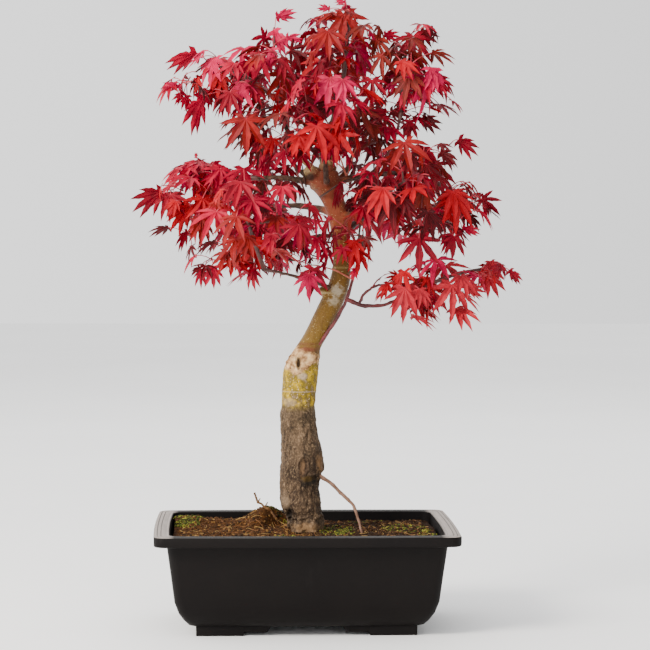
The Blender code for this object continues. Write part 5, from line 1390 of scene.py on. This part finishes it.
# Fine twigs that leave the trunk and boughs, by kind: places from the pot's centre.
FINE_TWIGS = {
    "pink": (
        ((0.0384, 0.008, 0.4132), (0.0358, -0.008, 0.4165), (0.0288, -0.02, 0.4235), (0.014, -0.026, 0.4297),
         (0.0012, -0.028, 0.4314), (-0.0132, -0.026, 0.4287)),
        ((0.0384, 0.008, 0.4132), (0.0402, -0.01, 0.4201), (0.0416, -0.018, 0.4291), (0.0459, -0.022, 0.4398)),
        ((0.0368, -0.006, 0.4138), (0.0325, -0.018, 0.4245), (0.0285, -0.024, 0.4343), (0.0239, -0.026, 0.4469)),
        ((0.043, 0.001, 0.3185), (0.0341, -0.01, 0.3234), (0.0257, -0.013, 0.3271), (0.0128, -0.015, 0.3308),
         (0.0019, -0.015, 0.3316), (-0.009, -0.014, 0.3289)),
    ),
    "dark": (
        ((0.0135, 0.004, 0.3938), (0.021, -0.012, 0.3991), (0.0317, -0.016, 0.4064), (0.0455, -0.014, 0.411),
         (0.0679, -0.006, 0.4149), (0.0849, 0, 0.4169)),
        ((0.0006, 0.004, 0.4029), (-0.0024, -0.002, 0.4165), (-0.0044, -0.004, 0.4292)),
        ((0.044, 0.002, 0.3185), (0.05, -0.004, 0.3343), (0.0523, -0.01, 0.3591), (0.0521, -0.012, 0.3801),
         (0.0513, -0.01, 0.4001)),
        ((0.0267, 0.009, 0.3515), (0.0097, 0, 0.3534), (-0.0033, -0.004, 0.3488), (-0.0161, -0.006, 0.3479)),
        ((0.0258, 0.009, 0.3413), (0.0117, 0.002, 0.3387), (0.0005, -0.002, 0.3433)),
    ),
}
FINE_TWIG_RADII = (0.0009, 0.0004)


def add_fine_twigs(kind, material):
    """Fine twigs of one kind, which taper from their first place to their last, as one piece."""
    parts = []
    for number, spots in enumerate(FINE_TWIGS[kind]):
        line = [place(spot) for spot in spots]
        radii = np.linspace(*FINE_TWIG_RADII, len(spots)).tolist()
        parts.append(add_round_limb(*fine_line(line, radii, 14, 0.0002, 4 + number), 2))
    return finish_piece(join_pieces(parts), kind + "_fine_twigs", [material], smooth=True)


hand_over(add_fine_twigs("pink", twig_material("new_growth_bark", "#8a3428", "#c06a54")), "young_bark")
hand_over(add_fine_twigs("dark", twig_material("old_twig_bark", "#24120e", "#4a2a20")), "young_bark")
# The root that leaves the trunk above the soil, from the pot's centre: place and radius.
ROOT_LINE = ((0.012, 0.008, 0.1372, 0.002), (0.0175, 0.0062, 0.134, 0.0018), (0.0263, 0.006, 0.1277, 0.0016),
             (0.033, 0.005, 0.1205, 0.0016), (0.0362, 0.004, 0.118, 0.0017), (0.042, 0.002, 0.1125, 0.0014),
             (0.0449, 0.0, 0.1091, 0.0014), (0.0478, -0.004, 0.101, 0.0012), (0.05, -0.008, 0.094, 0.0011),
             (0.0529, -0.01, 0.0825, 0.001))
# The dead snag and its two side spurs: place and radius.
SNAG_LINES = (((-0.0241, 0.05, 0.088, 0.0014), (-0.0312, 0.05, 0.0985, 0.0013), (-0.0362, 0.05, 0.1017, 0.0012),
               (-0.0395, 0.05, 0.105, 0.001), (-0.0425, 0.05, 0.1062, 0.0011), (-0.0459, 0.05, 0.1155, 0.0009)),
              ((-0.0362, 0.05, 0.1017, 0.0008), (-0.0335, 0.048, 0.1065, 0.0005)),
              ((-0.0425, 0.05, 0.1062, 0.0007), (-0.0405, 0.051, 0.11, 0.0004)))


def fine_limb(stations, steps, knots, seed, resolution):
    """A round limb through stations of place and radius, drawn finer."""
    line, radii = [place(station) for station in stations], [station[3] for station in stations]
    return add_round_limb(*fine_line(line, radii, steps, knots, seed), resolution)


hand_over(finish_piece(fine_limb(ROOT_LINE, 26, 0.0002, 3, 4), "surface_root",
                       [plain_growth("root_bark", "#5c4234", "#8a6a58", 0.8)], smooth=True), "bark", "side_root")
snag_parts = [fine_limb(stations, 14, 0.0001, number, 3) for number, stations in enumerate(SNAG_LINES)]
hand_over(finish_piece(join_pieces(snag_parts), "dead_snag",
                       [plain_growth("weathered_wood", "#4a3220", "#86623e", 0.85)]), "bark", "soil_snag")


# ------------ the training pot

# Outside of the pot from its underside to its rim, over the rim and down inside: height and inset.
POT_PROFILE = ((0.01, 0.0305), (0.0148, 0.0262), (0.0215, 0.0218), (0.032, 0.018), (0.058, 0.0147),
               (0.0835, 0.0113), (0.0841, 0.01), (0.0841, 0.001), (0.0846, 0.0003), (0.0862, 0.0), (0.092, 0.0),
               (0.0928, 0.0004), (0.0931, 0.0012), (0.0931, 0.0028), (0.0927, 0.0032), (0.0931, 0.0036),
               (0.0931, 0.006), (0.0927, 0.0064), (0.0931, 0.0068), (0.0931, 0.0105), (0.0928, 0.0112),
               (0.0931, 0.0118), (0.093, 0.013), (0.0924, 0.0136), (0.0841, 0.0138), (0.032, 0.0203),
               (0.0215, 0.0241), (0.0148, 0.0285), (0.0115, 0.0325))
POT_UNDERSIDE = (0.0085, 0.0345)
# Half of the pot's length as it is drawn, how far its long and short sides bow out, and its corners.
POT_HALF_X = 0.138
RIM_BOW = 0.0025
SHORT_BOW = 0.0018
POT_CORNER = 0.009
# Where the long and the short sides are cut so that they can bow.
SIDE_CUTS = ((-0.096, -0.064, -0.032, 0.0, 0.032, 0.064, 0.096), (-0.06, -0.03, 0.0, 0.03, 0.06))
# Each foot's block and the step at its inner end: how far its middle lies from the pot's middle, its length
# and width, its lower and upper ends, and how far its inner side slants in at the floor.
FOOT_BLOCKS = (((0.0774, 0.0495), (0.044, 0.03), 0.0, 0.0098, 0.0012),
               ((0.0444, 0.0551), (0.026, 0.018), 0.0032, 0.0096, 0.0045))
DRAIN_RADIUS = 0.011
DRAIN_X = 0.062


def add_pot_body():
    """The pot: a plate with round corners and bowed sides, drawn up the wall, over the rim and down."""
    start_piece()
    bpy.ops.mesh.primitive_plane_add(size=1.0, location=(POT_X, 0.0, 0.0))
    pot = bpy.context.object
    half_x, half_y = POT_HALF_X - SHORT_BOW, POT_WIDTH / 2 - RIM_BOW
    bpy.ops.object.mode_set(mode="EDIT")
    bpy.ops.transform.resize(value=(2 * half_x, 2 * half_y, 1.0))
    bpy.ops.mesh.bevel(offset=POT_CORNER, segments=5, profile=0.5, affect="VERTICES")
    for axis, cuts in enumerate(SIDE_CUTS):
        for cut in cuts:
            bpy.ops.mesh.select_all(action="SELECT")
            where, normal = [POT_X, 0.0, 0.0], [0.0, 0.0, 0.0]
            where[axis] += cut
            normal[axis] = 1.0
            bpy.ops.mesh.bisect(plane_co=where, plane_no=normal)
    bpy.ops.mesh.select_all(action="SELECT")
    bpy.ops.mesh.dissolve_faces()
    bpy.ops.object.mode_set(mode="OBJECT")
    for vertex in pot.data.vertices:
        x, y = vertex.co.x, vertex.co.y
        vertex.co.x = x * (1 + SHORT_BOW / half_x * (1 - (y / half_y) ** 2))
        vertex.co.y = y * (1 + RIM_BOW / half_y * (1 - (x / half_x) ** 2))
    bpy.ops.object.mode_set(mode="EDIT")
    bpy.ops.mesh.select_all(action="SELECT")
    centre = (POT_X, 0.0, 0.0)
    z, inset = POT_UNDERSIDE
    bpy.ops.transform.translate(value=(0.0, 0.0, z))
    size = (half_x - inset, half_y - inset)
    bpy.ops.transform.resize(value=(size[0] / half_x, size[1] / half_y, 1.0), center_override=centre)
    for height, inset in POT_PROFILE:
        bpy.ops.mesh.extrude_region_move(TRANSFORM_OT_translate={"value": (0.0, 0.0, height - z)})
        following = (half_x - inset, half_y - inset)
        bpy.ops.transform.resize(value=(following[0] / size[0], following[1] / size[1], 1.0), center_override=centre)
        z, size = height, following
    face_outwards()
    return pot


def add_foot_block(centre, size, bottom, top, slant):
    """A foot's block, narrower at the floor on the side that faces the pot's middle."""
    start_piece()
    bpy.ops.mesh.primitive_cube_add(size=1.0, location=(POT_X + centre[0], centre[1], (bottom + top) / 2))
    block = bpy.context.object
    bpy.ops.object.mode_set(mode="EDIT")
    bpy.ops.transform.resize(value=(size[0], size[1], top - bottom))
    inner = -math.copysign(1.0, centre[0])
    select_where(lambda mesh, vertex: vertex.co.x * inner > 0 and vertex.co.z < 0, "VERT")
    bpy.ops.transform.translate(value=(-inner * slant, 0.0, 0.0))
    select_where(lambda mesh, edge: True, "EDGE")
    bpy.ops.mesh.bevel(offset=0.001, segments=3, profile=0.5)
    bpy.ops.object.mode_set(mode="OBJECT")
    return block


def add_pot():
    """The pot's body with its four stepped feet and its two drain holes."""
    pot = add_pot_body()
    start_piece()
    for side in (1, -1):
        bpy.ops.mesh.primitive_cylinder_add(vertices=40, radius=DRAIN_RADIUS, depth=0.02,
                                            location=(POT_X + side * DRAIN_X, 0.0, 0.01))
        drill = bpy.context.object
        apply_modifier(pot, "BOOLEAN", operation="DIFFERENCE", object=drill, solver="EXACT")
        bpy.data.objects.remove(drill)
    feet = [add_foot_block((side_x * away[0], side_y * away[1]), *block)
            for side_x in (1, -1) for side_y in (1, -1) for away, *block in FOOT_BLOCKS]
    return finish_piece(join_pieces([pot, *feet]), "training_pot", [plastic_material()], angle=32)


hand_over(add_pot(), "pot_plastic", "pot")


# ------------ soil, crumbs, fibres and moss

# Mounds of soil, from the pot's centre: place, height and spread. The soil is level round the trunk.
SOIL_MOUNDS = ((-0.034, 0.056, 0.0165, 0.017), (-0.106, 0.062, 0.007, 0.02), (0.112, 0.02, 0.002, 0.016))
SOIL_FLAT_RADIUS = 0.041
SOIL_RISE_RADIUS = 0.052
# How far the soil stays inside the rim, where it ends below, and its corners.
SOIL_INSET = 0.0142
SOIL_FLOOR = 0.0118
SOIL_CORNER = 0.015
SOIL_GRID = (190, 138)
CRUMB_COUNT = 5200
FIBRE_COUNT = 700
# Grains of moss for each square metre of a patch's half length times its half width, and how far from the
# middle of the trunk's foot moss begins.
MOSS_GRAINS = 2.6e6
TRUNK_ROOM = 0.018
# Where moss grows, from the pot's centre: place, half sizes and how thickly.
MOSS = ((-0.109, 0.07, 0.016, 0.014, 1.0), (-0.109, 0.04, 0.012, 0.016, 0.9), (-0.026, 0.06, 0.014, 0.012, 0.45),
        (0.03, 0.01, 0.018, 0.034, 1.0), (0.092, 0.02, 0.02, 0.026, 0.45), (0.113, -0.015, 0.008, 0.02, 0.6),
        (-0.02, -0.04, 0.02, 0.018, 0.4), (0.06, 0.07, 0.018, 0.01, 0.5), (-0.075, -0.06, 0.018, 0.012, 0.4))


def soil_height(x, y):
    """The soil's level at a place given from the pot's centre."""
    away = math.hypot(x - TRUNK[0][0], y - TRUNK[0][1])
    rise = min(max((away - SOIL_FLAT_RADIUS) / (SOIL_RISE_RADIUS - SOIL_FLAT_RADIUS), 0.0), 1.0)
    rise = rise * rise * (3 - 2 * rise)
    mounds = sum(height * math.exp(-((x - cx) ** 2 + (y - cy) ** 2) / (2 * spread ** 2))
                 for cx, cy, height, spread in SOIL_MOUNDS)
    return SOIL_LEVEL + rise * mounds


def soil_edge(x, y):
    """A place moved inside the pot's wall."""
    half_x = POT_HALF_X - SHORT_BOW - SOIL_INSET
    half_y = POT_WIDTH / 2 - RIM_BOW - SOIL_INSET
    half_x += SHORT_BOW * (1 - (y / half_y) ** 2) if abs(y) < half_y else 0.0
    half_y += RIM_BOW * (1 - (x / half_x) ** 2) if abs(x) < half_x else 0.0
    corner_x, corner_y = half_x - SOIL_CORNER, half_y - SOIL_CORNER
    if abs(x) > corner_x and abs(y) > corner_y:
        dx, dy = abs(x) - corner_x, abs(y) - corner_y
        length = math.hypot(dx, dy)
        if length > SOIL_CORNER:
            dx, dy = dx * SOIL_CORNER / length, dy * SOIL_CORNER / length
        return math.copysign(corner_x + dx, x), math.copysign(corner_y + dy, y)
    return max(min(x, half_x), -half_x), max(min(y, half_y), -half_y)


def ground(x, y):
    """The soil's surface with its crumbs."""
    spot = Vector((x, y, 0.0))
    crumbs = 0.0013 * noise.noise(spot / 0.0042) + 0.0008 * noise.noise(spot / 0.0019 + Vector((3, 1, 0)))
    wave = 0.0016 * noise.noise(spot / 0.022)
    return soil_height(x, y) + crumbs + wave


def add_soil():
    """The soil: a fine grid laid into the pot's mouth, with sides and a flat underside."""
    start_piece()
    bpy.ops.mesh.primitive_grid_add(x_subdivisions=SOIL_GRID[0], y_subdivisions=SOIL_GRID[1], size=1.0,
                                    location=(POT_X, 0.0, 0.0))
    soil = bpy.context.object
    half_x, half_y = POT_LENGTH / 2 - SOIL_INSET, POT_WIDTH / 2 - SOIL_INSET
    for vertex in soil.data.vertices:
        x, y = soil_edge(vertex.co.x * 2 * half_x, vertex.co.y * 2 * half_y)
        vertex.co = (x, y, ground(x, y))
    bpy.ops.object.mode_set(mode="EDIT")
    bpy.ops.mesh.select_all(action="SELECT")
    bpy.ops.mesh.region_to_loop()
    bpy.ops.mesh.extrude_edges_move(TRANSFORM_OT_translate={"value": (0.0, 0.0, -0.03)})
    bpy.ops.transform.resize(value=(0.965, 0.955, 0.0), center_override=(POT_X, 0.0, 0.04))
    bpy.ops.mesh.extrude_edges_move(TRANSFORM_OT_translate={"value": (0.0, 0.0, SOIL_FLOOR - 0.04)})
    bpy.ops.transform.resize(value=(0.86, 0.84, 1.0), center_override=(POT_X, 0.0, SOIL_FLOOR))
    bpy.ops.mesh.fill()
    face_outwards()
    return finish_piece(soil, "peat_soil", [peat_material("damp_peat", "#1f1106", "#482b10", "#74491e")], smooth=True)


def grain_shape(rng):
    """An uneven grain of twenty faces."""
    start_piece()
    bpy.ops.mesh.primitive_ico_sphere_add(subdivisions=1, radius=1.0)
    grain = bpy.context.object
    points = np.array([v.co[:] for v in grain.data.vertices])
    faces = [tuple(p.vertices) for p in grain.data.polygons]
    bpy.data.objects.remove(grain)
    points *= np.array([[rng.uniform(0.7, 1.2)] for _ in points])
    return points, faces


def scatter(name, spots, grains, materials, rng):
    """Small grains at many places, joined: each spot is x, y, z, a size and its material's number."""
    shapes = []
    for x, y, z, size, tint in spots:
        points, faces = rng.choice(grains)
        turn = np.array(Matrix.Rotation(rng.uniform(0, 6.28), 3, "Z") @ Matrix.Rotation(rng.uniform(0, 6.28), 3, "X"))
        squash = np.array((rng.uniform(0.7, 1.3), rng.uniform(0.7, 1.3), rng.uniform(0.6, 1.0)))
        shapes.append(((points * squash * size) @ turn.T + place((x, y, z)), faces, tint, None))
    return join_shapes(name, shapes, materials)


def soil_spot(rng):
    """A place on the soil, clear of the trunk."""
    half_x, half_y = POT_LENGTH / 2 - SOIL_INSET - 0.004, POT_WIDTH / 2 - SOIL_INSET - 0.004
    x, y = soil_edge(rng.uniform(-half_x, half_x), rng.uniform(-half_y, half_y))
    return x * 0.985, y * 0.98


def add_crumbs():
    """Crumbs of peat from one to four millimetres wide, most of them small."""
    rng = random.Random(5)
    grains = [grain_shape(rng) for _ in range(6)]
    spots = []
    for _ in range(CRUMB_COUNT):
        x, y = soil_spot(rng)
        size = 0.0005 + 0.0013 * rng.random() ** 3
        spots.append((x, y, ground(x, y) + size * 0.25, size, rng.choice((0, 0, 0, 1, 1, 2))))
    # The crumbs marked True take the painted shade to the right of the trunk.
    tones = (("peat_crumb", "#2a1807", "#533313", 0.95, True), ("dark_peat_crumb", "#180e06", "#36220f", 0.95),
             ("bark_chip", "#573b1c", "#84602f", 0.9, True))
    return scatter("peat_crumbs", spots, grains, [plain_growth(*tone) for tone in tones], rng)


def add_moss():
    """Moss as cushions of many small grains, thinner towards their edges and with bare gaps."""
    rng = random.Random(8)
    grains = [grain_shape(rng) for _ in range(4)]
    spots = []
    for cx, cy, rx, ry, density in MOSS:
        for _ in range(int(density * rx * ry * MOSS_GRAINS)):
            away, turn = rng.random() ** 0.6, rng.uniform(0, 2 * math.pi)
            x, y = soil_edge(cx + rx * away * math.cos(turn), cy + ry * away * math.sin(turn))
            if math.hypot(x, y - TRUNK[0][1]) < TRUNK_ROOM or noise.noise(Vector((x, y, 3)) / 0.007) < -0.15:
                continue
            size = rng.uniform(0.0005, 0.0011)
            spots.append((x, y, ground(x, y) + size * 0.5, size, rng.choice((0, 0, 1, 2))))
    tones = (("green_moss", "#262c0a", "#4c5616", 0.95), ("yellow_moss", "#5c5a18", "#87822c", 0.95),
             ("dark_moss", "#151a08", "#2c3410", 0.95))
    return scatter("moss_cushions", spots, grains, [plain_growth(*tone) for tone in tones], rng)


def add_fibres():
    """Root fibres and straws on the soil, each a bent tube of three sides."""
    rng = random.Random(12)
    shapes = []
    for _ in range(FIBRE_COUNT):
        x, y = soil_spot(rng)
        turn, length = rng.uniform(0, 2 * math.pi), rng.uniform(0.004, 0.013)
        line = []
        for step in (-0.5, 0.0, 0.5):
            px, py = soil_edge(x + math.cos(turn) * length * step, y + math.sin(turn) * length * step)
            line.append(place((px, py, ground(px, py) + 0.0005)))
            turn += rng.uniform(-0.5, 0.5)
        radius = rng.uniform(0.00015, 0.00035)
        shapes.append((*tube_along(line, [radius] * 3, 3), rng.choice((0, 0, 1)), None))
    return join_shapes("root_fibres", shapes, [plain_growth("root_fibre", "#4d2d18", "#7d5532", 0.9),
                                               plain_growth("straw", "#7d5f34", "#a88850", 0.9)])


hand_over(add_soil(), "soil", "soil")
for loose in (add_crumbs(), add_moss(), add_fibres()):
    hand_over(loose, "soil")


# ------------ floor and light

# How bright the studio is at its left and at its right wall.
BRIGHT_WALL = 2.6
DIM_WALL = 0.5


def add_floor():
    start_piece()
    bpy.ops.mesh.primitive_plane_add(size=12.0, location=(0.0, 0.0, 0.0))
    material, tree, shader, _, (cloud,) = new_material("pale_paper_floor", 0.9, 1.45, 0.1, (0.5, 4.0, 0.55))
    cover(tree, shader, node(tree, "ValToRGB", (cloud,), ((0.3, "#f6f6f6"), (0.7, "#fafafa"))))
    floor = finish_piece(bpy.context.object, "floor", [material])


def add_light(name, where, size, power, colour, aim=(0.0, 0.0, 0.3)):
    """A large soft square lamp that faces a point."""
    data = bpy.data.lights.new(name, "AREA")
    data.size = size
    data.energy = power
    data.color = linear(colour)[:3]
    lamp = bpy.data.objects.new(name, data)
    bpy.context.scene.collection.objects.link(lamp)
    heading = Vector(aim) - Vector(where)
    lamp.matrix_world = Matrix.Translation(where) @ heading.to_track_quat("-Z", "Y").to_matrix().to_4x4()


def add_world():
    """A studio whose bright wall stands to the left, and whose right wall is dimmer."""
    world = bpy.data.worlds.new("studio")
    bpy.context.scene.world = world
    world.use_nodes = True
    tree = world.node_tree
    backdrop = tree.nodes["Background"]
    backdrop.inputs["Color"].default_value = linear("#ffffff")
    sideways = node(tree, "SeparateXYZ", (node(tree, "TexCoord", output="Generated"),), output="X")
    strength = node(tree, "MapRange", {"Value": sideways, "From Min": -1.0, "From Max": 1.0,
                                       "To Min": BRIGHT_WALL, "To Max": DIM_WALL})
    tree.links.new(strength, backdrop.inputs["Strength"])


add_floor()
add_world()
add_light("key_lamp", (-1.8, -1.4, 1.5), 0.9, 110.0, "#fff8ee")
add_light("front_lamp", (0.7, -2.2, 0.4), 1.0, 9.0, "#ffffff")
add_light("back_lamp", (0.2, 1.8, 2.0), 1.6, 20.0, "#ffffff")
